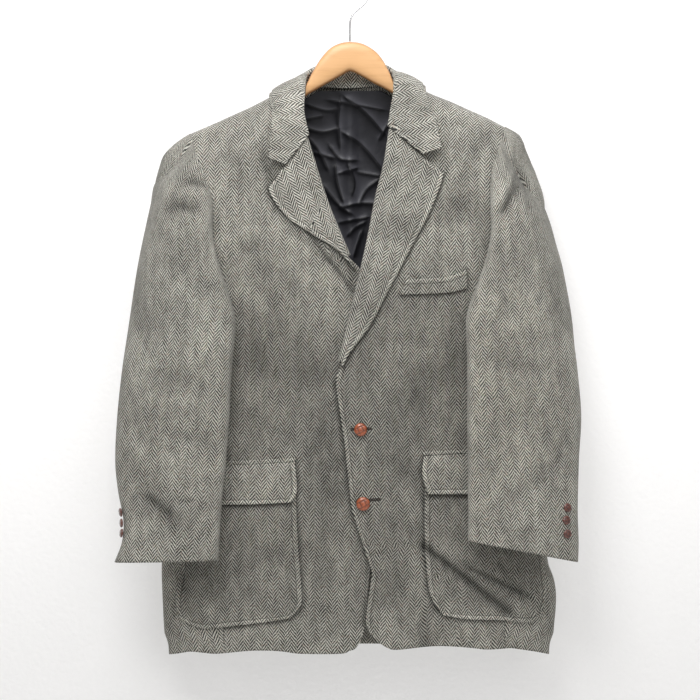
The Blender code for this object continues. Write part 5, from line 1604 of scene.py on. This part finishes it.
def make_hanger(wood: bpy.types.Material, wire: bpy.types.Material) -> None:
    """The wooden hanger and its wire hook, left plain."""
    bm = bmesh.new()
    rings, rims = [], []
    for x in np.concatenate([np.linspace(-205, -80, 40), np.linspace(-78, 78, 90), np.linspace(80, 205, 40)]):
        top, bottom, half = (float(HANGER.read(x, name)) for name in ("top", "bottom", "half"))
        middle, high = (top + bottom) / 2, (top - bottom) / 2
        ring = []
        for i in range(40):
            c, s = math.cos(math.tau * i / 40), math.sin(math.tau * i / 40)
            y = math.copysign(abs(c) ** (2 / HANGER_POWER), c) * half * 0.97
            z = math.copysign(abs(s) ** (2 / HANGER_POWER), s) * high * 0.98
            ring.append(bm.verts.new((x * MM, y * MM, (middle + z) * MM)))
            # How near each point is to the top or bottom rim, for the painted shade of the wood.
            rims.append(min(high - abs(z), NO_EDGE))
        rings.append(ring)
    for low, high in zip(rings, rings[1:]):
        for i in range(40):
            bm.faces.new([low[i], low[(i + 1) % 40], high[(i + 1) % 40], high[i]])
    bm.faces.new(rings[0])
    bm.faces.new(rings[-1][::-1])
    bmesh.ops.recalc_face_normals(bm, faces=bm.faces)
    body = mesh_object("look_hanger_body", bm, wood)
    give_value(body, "rim", np.array(rims))
    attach(body, "root")
    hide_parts("hanger_body")
    points = [(x, 0.0, z) for x, z in HOOK_STEM]
    for turn in np.linspace(-48, 204, 19):
        angle = math.radians(turn)
        points.append((HOOK_RADIUS * math.cos(angle), 0.0, HOOK_CENTRE + HOOK_RADIUS * math.sin(angle)))
    bm = bmesh.new()
    add_tube(bm, Line(points).at(np.linspace(0, 1, 150)), HOOK_WIRE, 16)
    hook = mesh_object("look_hanger_hook", bm, wire)
    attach(hook, "root")
    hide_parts("hanger_hook")


# ---------------------------------------------------------------- finishes


@dataclass(frozen=True)
class TweedFinish:
    """The herringbone tweed.

    Attributes:
        zigzag: The width of a whole zigzag of the weave, in metres.
        pitch: From one light line to the next along a column, in metres.
        climb: How many lines a line climbs while it crosses half a zigzag.
    """

    light: tuple[float, float, float] = (0.56, 0.55, 0.49)
    dark: tuple[float, float, float] = (0.02, 0.02, 0.019)
    brown: tuple[float, float, float] = (0.34, 0.22, 0.15)
    green: tuple[float, float, float] = (0.25, 0.28, 0.19)
    pink: tuple[float, float, float] = (0.46, 0.33, 0.30)
    zigzag: float = 0.0163
    pitch: float = 0.00508
    climb: float = 2.04
    rough: float = 0.92


@dataclass(frozen=True)
class PlainFinish:
    """A plain surface: its colour, roughness and how much of a metal it is."""

    colour: tuple[float, float, float]
    rough: float
    metallic: float = 0.0
    coat: float = 0.0
    sheen: float = 0.0
    second: tuple[float, float, float] | None = None


class Nodes:
    """Adds and links shader nodes with little writing."""

    def __init__(self, tree: bpy.types.NodeTree) -> None:
        self.tree = tree

    def add(self, kind: str, **settings: object) -> bpy.types.Node:
        """A node with its settings; a setting named in_N feeds socket N with a value or a socket."""
        node = self.tree.nodes.new(kind)
        for key, value in settings.items():
            if not key.startswith("in_"):
                setattr(node, key, value)
        for key, value in settings.items():
            if key.startswith("in_"):
                name = key[3:]
                socket = node.inputs[int(name)] if name.isdigit() else node.inputs[name.replace("_", " ")]
                self.feed(socket, value)
        return node

    def feed(self, socket: bpy.types.NodeSocket, value: object) -> None:
        """Links a socket or sets a value."""
        if isinstance(value, bpy.types.NodeSocket):
            self.tree.links.new(value, socket)
        elif isinstance(value, tuple) and len(value) == 3 and socket.type == "RGBA":
            socket.default_value = (*value, 1.0)
        else:
            socket.default_value = value

    def math(self, operation: str, *values: object, clamp: bool = False) -> bpy.types.NodeSocket:
        """The output of a Math node."""
        node = self.tree.nodes.new("ShaderNodeMath")
        node.operation, node.use_clamp = operation, clamp
        for socket, value in zip(node.inputs, values):
            self.feed(socket, value)
        return node.outputs[0]

    def mix(self, factor: object, a: object, b: object, blend: str = "MIX") -> bpy.types.NodeSocket:
        """The colour output of a Mix node."""
        node = self.tree.nodes.new("ShaderNodeMix")
        node.data_type, node.blend_type = "RGBA", blend
        self.feed(node.inputs[0], factor)
        self.feed(node.inputs[6], a)
        self.feed(node.inputs[7], b)
        return node.outputs[2]

    def noise(self, where: object, scale: float, detail: float = 2.0, rough: float = 0.5) -> bpy.types.Node:
        """A noise texture."""
        return self.add("ShaderNodeTexNoise", in_Vector=where, in_Scale=scale, in_Detail=detail, in_Roughness=rough)

    def span(self, value: object, low: float, high: float, to_low: float = 0.0, to_high: float = 1.0) -> object:
        """A value moved smoothly from one range to another."""
        node = self.tree.nodes.new("ShaderNodeMapRange")
        node.interpolation_type = "SMOOTHSTEP"
        for socket, fed in zip(node.inputs, (value, low, high, to_low, to_high)):
            self.feed(socket, fed)
        return node.outputs[0]


def herringbone(finish: TweedFinish) -> bpy.types.ShaderNodeTree:
    """The shader group of the weave.

    Args:
        finish: The colours and sizes of the cloth.

    Returns:
        A group that turns a place in the weave, the distance to a stitched edge, the painted shade and the
        rubbed wear into a colour, with painted light and shade in it, and a height.
    """
    tree = bpy.data.node_groups.new("herringbone", "ShaderNodeTree")
    tree.interface.new_socket("Place", in_out="INPUT", socket_type="NodeSocketVector")
    tree.interface.new_socket("Edge", in_out="INPUT", socket_type="NodeSocketFloat")
    tree.interface.new_socket("Shade", in_out="INPUT", socket_type="NodeSocketFloat")
    tree.interface.new_socket("Worn", in_out="INPUT", socket_type="NodeSocketFloat")
    tree.interface.new_socket("Colour", in_out="OUTPUT", socket_type="NodeSocketColor")
    tree.interface.new_socket("Height", in_out="OUTPUT", socket_type="NodeSocketFloat")
    n = Nodes(tree)
    source = n.add("NodeGroupInput")
    place, edge = source.outputs["Place"], source.outputs["Edge"]
    wander = n.noise(place, 60.0, 2.0)
    shift = n.add("ShaderNodeVectorMath", operation="SUBTRACT", in_0=wander.outputs["Color"], in_1=(0.5, 0.5, 0.5))
    shift = n.add("ShaderNodeVectorMath", operation="SCALE", in_0=shift.outputs[0], in_Scale=0.0022)
    moved = n.add("ShaderNodeVectorMath", operation="ADD", in_0=place, in_1=shift.outputs[0])
    parts = n.add("ShaderNodeSeparateXYZ", in_0=moved.outputs[0])
    column = n.math("DIVIDE", parts.outputs[0], finish.zigzag)
    swing = n.math("MULTIPLY", n.math("PINGPONG", column, 0.5), 2.0)
    rise = n.math("DIVIDE", parts.outputs[1], finish.pitch)
    line = n.math("ADD", rise, n.math("MULTIPLY", swing, finish.climb))
    turned = n.math("FLOOR", n.math("MULTIPLY", column, 2.0))
    line = n.math("ADD", line, n.math("MULTIPLY", n.math("PINGPONG", turned, 1.0), 0.5))
    wave = n.math("MULTIPLY", n.math("PINGPONG", line, 0.5), 2.0)
    fuzz = n.noise(place, 620.0, 3.0, 0.65)
    wave = n.math("ADD", wave, n.math("MULTIPLY", n.math("SUBTRACT", fuzz.outputs[0], 0.5), 1.5))
    long_way = n.add("ShaderNodeVectorMath", operation="MULTIPLY", in_0=place, in_1=(1.0, 0.4, 1.0))
    streak = n.noise(long_way.outputs[0], 95.0, 3.0, 0.6)
    wave = n.math("ADD", wave, n.math("MULTIPLY", n.math("SUBTRACT", streak.outputs[0], 0.5), 0.55))
    pale = n.span(wave, 0.25, 0.8)
    worn = n.noise(place, 34.0, 3.0, 0.6)
    faded = n.math("MAXIMUM", n.span(worn.outputs[0], 0.4, 0.8, 0.0, 0.3), source.outputs["Worn"])
    pale = n.add("ShaderNodeMix", data_type="FLOAT", in_0=faded, in_2=pale, in_3=0.42).outputs[0]
    fleck = n.noise(place, 260.0, 1.0)
    hues = n.add("ShaderNodeSeparateColor", in_0=fleck.outputs["Color"])
    yarn = n.mix(n.span(hues.outputs[0], 0.52, 0.72, 0.0, 0.4), finish.light, finish.brown)
    yarn = n.mix(n.span(hues.outputs[1], 0.52, 0.72, 0.0, 0.4), yarn, finish.green)
    yarn = n.mix(n.span(hues.outputs[2], 0.54, 0.74, 0.0, 0.35), yarn, finish.pink)
    colour = n.mix(pale, finish.dark, yarn)
    tone = n.noise(place, 14.0, 3.0)
    shade = n.span(tone.outputs[0], 0.3, 0.7, 0.8, 1.12)
    shade = n.math("MULTIPLY", shade, n.span(streak.outputs[1], 0.3, 0.7, 0.92, 1.08))
    # Painted shade from the shade attribute: darker in folds, beside laid pieces and down the fronts.
    shade = n.math("MULTIPLY", shade, source.outputs["Shade"])
    # Painted highlight along the swelled stitched edge, and painted shade in the sunk line of stitches.
    painted_edge_highlight = n.span(edge, 6.4, 5.2, 0.0, 1.0)
    groove = n.math("ABSOLUTE", n.math("SUBTRACT", edge, 6.9))
    groove = n.span(groove, 1.2, 0.1, 0.0, 0.4)
    shade = n.math("MULTIPLY", shade, n.math("ADD", 1.0, n.math("MULTIPLY", painted_edge_highlight, 0.26)))
    shade = n.math("MULTIPLY", shade, n.math("SUBTRACT", 1.0, groove))
    grey = n.add("ShaderNodeCombineColor", in_0=shade, in_1=shade, in_2=shade)
    colour = n.mix(1.0, colour, grey.outputs[0], "MULTIPLY")
    nap = n.noise(place, 1800.0, 2.0, 0.7)
    height = n.math("ADD", n.math("MULTIPLY", pale, 0.6), n.math("MULTIPLY", nap.outputs[0], 0.8))
    sink = n.add("NodeGroupOutput")
    n.feed(sink.inputs["Colour"], colour)
    n.feed(sink.inputs["Height"], height)
    return tree


def new_material(name: str) -> tuple[bpy.types.Material, Nodes, bpy.types.Node]:
    """A material, its node helper and its Principled shader."""
    made = bpy.data.materials.new(LOOK + name)
    made.use_nodes = True
    shader = made.node_tree.nodes["Principled BSDF"]
    return made, Nodes(made.node_tree), shader


def tweed_material(name: str, finish: TweedFinish) -> bpy.types.Material:
    """The tweed, from the piece's own weave coordinates."""
    made, n, shader = new_material(name)
    place = n.add("ShaderNodeUVMap", uv_map="weave")
    edge = n.add("ShaderNodeAttribute", attribute_name="edge")
    group = n.add("ShaderNodeGroup", node_tree=herringbone(finish))
    n.feed(group.inputs["Place"], place.outputs[0])
    n.feed(group.inputs["Edge"], edge.outputs["Fac"])
    # The shade attribute carries painted light and shade; worn carries the rubbed weave.
    for name in ("shade", "worn"):
        value = n.add("ShaderNodeAttribute", attribute_name=name)
        n.feed(group.inputs[name.capitalize()], value.outputs["Fac"])
    bump = n.add("ShaderNodeBump", in_Strength=0.7, in_Distance=0.0009, in_Height=group.outputs["Height"])
    n.feed(shader.inputs["Base Color"], group.outputs["Colour"])
    n.feed(shader.inputs["Normal"], bump.outputs[0])
    shader.inputs["Roughness"].default_value = finish.rough
    shader.inputs["Specular IOR Level"].default_value = 0.15
    shader.inputs["Sheen Weight"].default_value = 0.12
    shader.inputs["Sheen Roughness"].default_value = 0.6
    return made


def plain_material(name: str, finish: PlainFinish) -> bpy.types.Material:
    """A plain material with a faint uneven tone."""
    made, n, shader = new_material(name)
    where = n.add("ShaderNodeTexCoord")
    tone = n.noise(where.outputs["Object"], 120.0, 3.0)
    other = finish.second or tuple(c * 0.8 for c in finish.colour)
    colour = n.mix(n.span(tone.outputs[0], 0.35, 0.65), finish.colour, other)
    n.feed(shader.inputs["Base Color"], colour)
    shader.inputs["Roughness"].default_value = finish.rough
    shader.inputs["Metallic"].default_value = finish.metallic
    shader.inputs["Coat Weight"].default_value = finish.coat
    shader.inputs["Sheen Weight"].default_value = finish.sheen
    return made


def leather_material(name: str, finish: PlainFinish) -> bpy.types.Material:
    """Leather strips with dark grooves between them."""
    made, n, shader = new_material(name)
    where = n.add("ShaderNodeTexCoord")
    groove = n.add("ShaderNodeAttribute", attribute_name="groove")
    tone = n.noise(where.outputs["Object"], 400.0, 3.0)
    colour = n.mix(n.span(tone.outputs[0], 0.35, 0.7), finish.colour, finish.second or finish.colour)
    dark = tuple(c * 0.16 for c in finish.colour)
    colour = n.mix(n.math("MULTIPLY", groove.outputs["Fac"], 0.85), colour, dark)
    bump = n.add("ShaderNodeBump", in_Strength=0.5, in_Distance=0.0006, in_Height=tone.outputs[0])
    n.feed(shader.inputs["Base Color"], colour)
    n.feed(shader.inputs["Normal"], bump.outputs[0])
    shader.inputs["Roughness"].default_value = finish.rough
    shader.inputs["Coat Weight"].default_value = finish.coat
    return made


def wood_material(name: str, finish: PlainFinish) -> bpy.types.Material:
    """Pale varnished wood with its grain along the arms, and painted shade towards its rounded top and bottom rims.
    """
    made, n, shader = new_material(name)
    where = n.add("ShaderNodeTexCoord")
    stretch = n.add("ShaderNodeMapping", in_Vector=where.outputs["Object"], in_Scale=(6.0, 90.0, 90.0))
    grain = n.noise(stretch.outputs[0], 1.6, 4.0, 0.6)
    colour = n.mix(n.span(grain.outputs[0], 0.35, 0.68), finish.colour, finish.second or finish.colour)
    # Painted shade: the wood darkens near its top and bottom rims, where its round turns away.
    rim = n.add("ShaderNodeAttribute", attribute_name="rim")
    colour = n.mix(n.span(rim.outputs["Fac"], 5.0, 0.4, 0.0, 0.8), colour, (0.40, 0.17, 0.06))
    n.feed(shader.inputs["Base Color"], colour)
    shader.inputs["Roughness"].default_value = finish.rough
    shader.inputs["Coat Weight"].default_value = finish.coat
    shader.inputs["Coat Roughness"].default_value = 0.25
    return made


def satin_material(name: str, finish: PlainFinish) -> bpy.types.Material:
    """The black lining: creased, with a painted sheen on the sides of the creases that face up, and dark painted
    lines in them.
    """
    made, n, shader = new_material(name)
    place = n.add("ShaderNodeUVMap", uv_map="weave")
    # The shade attribute holds the painted light and shade of the creases; with some random patches it paints the
    # sheen.
    slope = n.add("ShaderNodeAttribute", attribute_name="shade")
    wrinkle = n.noise(place.outputs[0], 30.0, 2.0, 0.5)
    ridge = n.math("ABSOLUTE", n.math("SUBTRACT", wrinkle.outputs[0], 0.5))
    patch = n.noise(place.outputs[0], 17.0, 2.0, 0.5)
    sheen = n.math("ADD", slope.outputs["Fac"], n.math("MULTIPLY", n.math("SUBTRACT", patch.outputs[0], 0.5), 0.6))
    colour = n.mix(n.span(sheen, 0.15, 1.05), finish.colour, finish.second or finish.colour)
    bump = n.add("ShaderNodeBump", in_Strength=0.5, in_Distance=0.004, in_Height=ridge)
    n.feed(shader.inputs["Base Color"], colour)
    n.feed(shader.inputs["Normal"], bump.outputs[0])
    shader.inputs["Roughness"].default_value = finish.rough
    shader.inputs["Specular IOR Level"].default_value = 0.3
    shader.inputs["Sheen Weight"].default_value = finish.sheen
    return made


# ---------------------------------------------------------------- studio


@dataclass(frozen=True)
class Studio:
    """The wall, floor, lamps and camera.

    Attributes:
        distance: From the camera to the front of the jacket, in metres.
        view_width: How much the picture takes in at the jacket, in metres.
        centre: The x and z in the middle of the picture.
    """

    distance: float = 4.5
    view_width: float = 0.966
    centre: tuple[float, float] = (0.0, -0.5258)
    wall_y: float = 0.052
    floor_z: float = -1.35

    def build(self) -> None:
        """Adds all of it to the scene."""
        self.add_wall()
        self.add_camera()
        self.add_lamp("key", (-0.38, -1.25, 0.8), (0.0, 0.0, -0.4), 0.9, 25.0)
        self.add_lamp("fill", (0.9, -1.5, 0.1), (0.0, 0.0, -0.5), 1.4, 6.0)
        self.add_lamp("top", (0.1, -0.5, 0.7), (0.0, -0.05, -0.3), 0.7, 5.0)
        self.add_lamp("rear", (0.6, 2.0, 0.6), (0.0, 0.0, -0.5), 1.6, 16.0)
        world = bpy.data.worlds.new("studio")
        world.use_nodes = True
        world.node_tree.nodes["Background"].inputs[0].default_value = (1.0, 1.0, 1.0, 1.0)
        world.node_tree.nodes["Background"].inputs[1].default_value = 0.36
        bpy.context.scene.world = world
        bpy.context.scene.view_settings.view_transform = "Standard"

    def add_wall(self) -> None:
        """The white wall close behind the jacket, clear from behind and glowing with painted light that dims
        towards the bottom, and the floor below.
        """
        wall_material, n, shader = new_material("wall")
        where = n.add("ShaderNodeTexCoord")
        rough = n.noise(where.outputs["Object"], 130.0, 4.0, 0.6)
        bump = n.add("ShaderNodeBump", in_Strength=0.5, in_Distance=0.003, in_Height=rough.outputs[0])
        n.feed(shader.inputs["Normal"], bump.outputs[0])
        shader.inputs["Base Color"].default_value = (0.5, 0.496, 0.492, 1.0)
        # Painted light: the wall glows, less towards the bottom.
        shader.inputs["Emission Color"].default_value = (1.0, 0.99, 0.985, 1.0)
        axes = n.add("ShaderNodeSeparateXYZ", in_0=where.outputs["Object"])
        n.feed(shader.inputs["Emission Strength"], n.span(axes.outputs[2], -1.05, -0.5, 0.4, 0.56))
        shader.inputs["Roughness"].default_value = 0.95
        back = n.add("ShaderNodeNewGeometry")
        clear = n.add("ShaderNodeBsdfTransparent")
        mixed = n.add("ShaderNodeMixShader", in_0=back.outputs["Backfacing"])
        n.feed(mixed.inputs[1], shader.outputs[0])
        n.feed(mixed.inputs[2], clear.outputs[0])
        n.feed(wall_material.node_tree.nodes["Material Output"].inputs[0], mixed.outputs[0])
        bm = bmesh.new()
        corners = [(-3, 3), (3, 3), (3, self.floor_z), (-3, self.floor_z)]
        bm.faces.new([bm.verts.new((x, self.wall_y, z)) for x, z in corners][::-1])
        wall = mesh_object("wall", bm, wall_material)
        floor_material, _, floor_shader = new_material("floor")
        floor_shader.inputs["Base Color"].default_value = (0.8, 0.8, 0.79, 1.0)
        floor_shader.inputs["Roughness"].default_value = 0.8
        bm = bmesh.new()
        corners = [(-4, -4), (4, -4), (4, 4), (-4, 4)]
        bm.faces.new([bm.verts.new((x, y, self.floor_z)) for x, y in corners])
        floor = mesh_object("floor", bm, floor_material)

    def add_camera(self) -> None:
        """A level camera in front of the middle of the jacket."""
        data = bpy.data.cameras.new("camera")
        data.sensor_width = 36.0
        data.lens = 36.0 * self.distance / self.view_width
        camera = bpy.data.objects.new("camera", data)
        camera.location = (self.centre[0], -self.distance - 0.04, self.centre[1])
        camera.rotation_euler = (math.radians(90), 0.0, 0.0)
        bpy.context.collection.objects.link(camera)
        bpy.context.scene.camera = camera

    @staticmethod
    def add_lamp(name: str, place: Sequence[float], aim: Sequence[float], size: float, power: float) -> None:
        """A square lamp that shines from a place at an aim."""
        data = bpy.data.lights.new(name, "AREA")
        data.size, data.energy = size, power
        lamp = bpy.data.objects.new(name, data)
        lamp.location = place
        lamp.rotation_euler = (Vector(aim) - Vector(place)).to_track_quat("-Z", "Y").to_euler()
        bpy.context.collection.objects.link(lamp)


def write_size() -> None:
    """Updates the scene's view layer."""
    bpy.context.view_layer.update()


def main() -> None:
    """Builds the whole scene."""
    logging.basicConfig(level=logging.INFO, format="%(name)s: %(message)s")
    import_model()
    write_size()
    tweed = tweed_material("tweed", TweedFinish())
    # The lining's second colour is its painted sheen on the lit sides of the creases.
    satin = satin_material("lining satin", PlainFinish((0.006, 0.006, 0.008), 0.45, sheen=0.05, second=(0.07, 0.07, 0.082)))
    leather = leather_material(
        "leather", PlainFinish((0.42, 0.10, 0.03), 0.34, coat=0.8, second=(0.24, 0.05, 0.016))
    )
    cuff = leather_material(
        "cuff leather", PlainFinish((0.13, 0.03, 0.015), 0.3, coat=1.0, second=(0.07, 0.016, 0.009))
    )
    wood = wood_material("wood", PlainFinish((0.66, 0.38, 0.175), 0.45, coat=0.15, second=(0.58, 0.32, 0.135)))
    wire = plain_material("hook wire", PlainFinish((0.72, 0.72, 0.73), 0.22, metallic=1.0))
    thread = plain_material("thread", PlainFinish((0.03, 0.022, 0.018), 0.8))
    make_fronts(tweed)
    make_backs(tweed)
    make_sides(tweed)
    make_lapels(tweed)
    make_collar(tweed)
    make_sleeves(tweed)
    make_pockets(tweed)
    make_lining(satin)
    make_buttons(leather, cuff)
    make_buttonholes(thread)
    make_hanger(wood, wire)
    Studio().build()
    write_size()


if __name__ == "__main__":
    main()
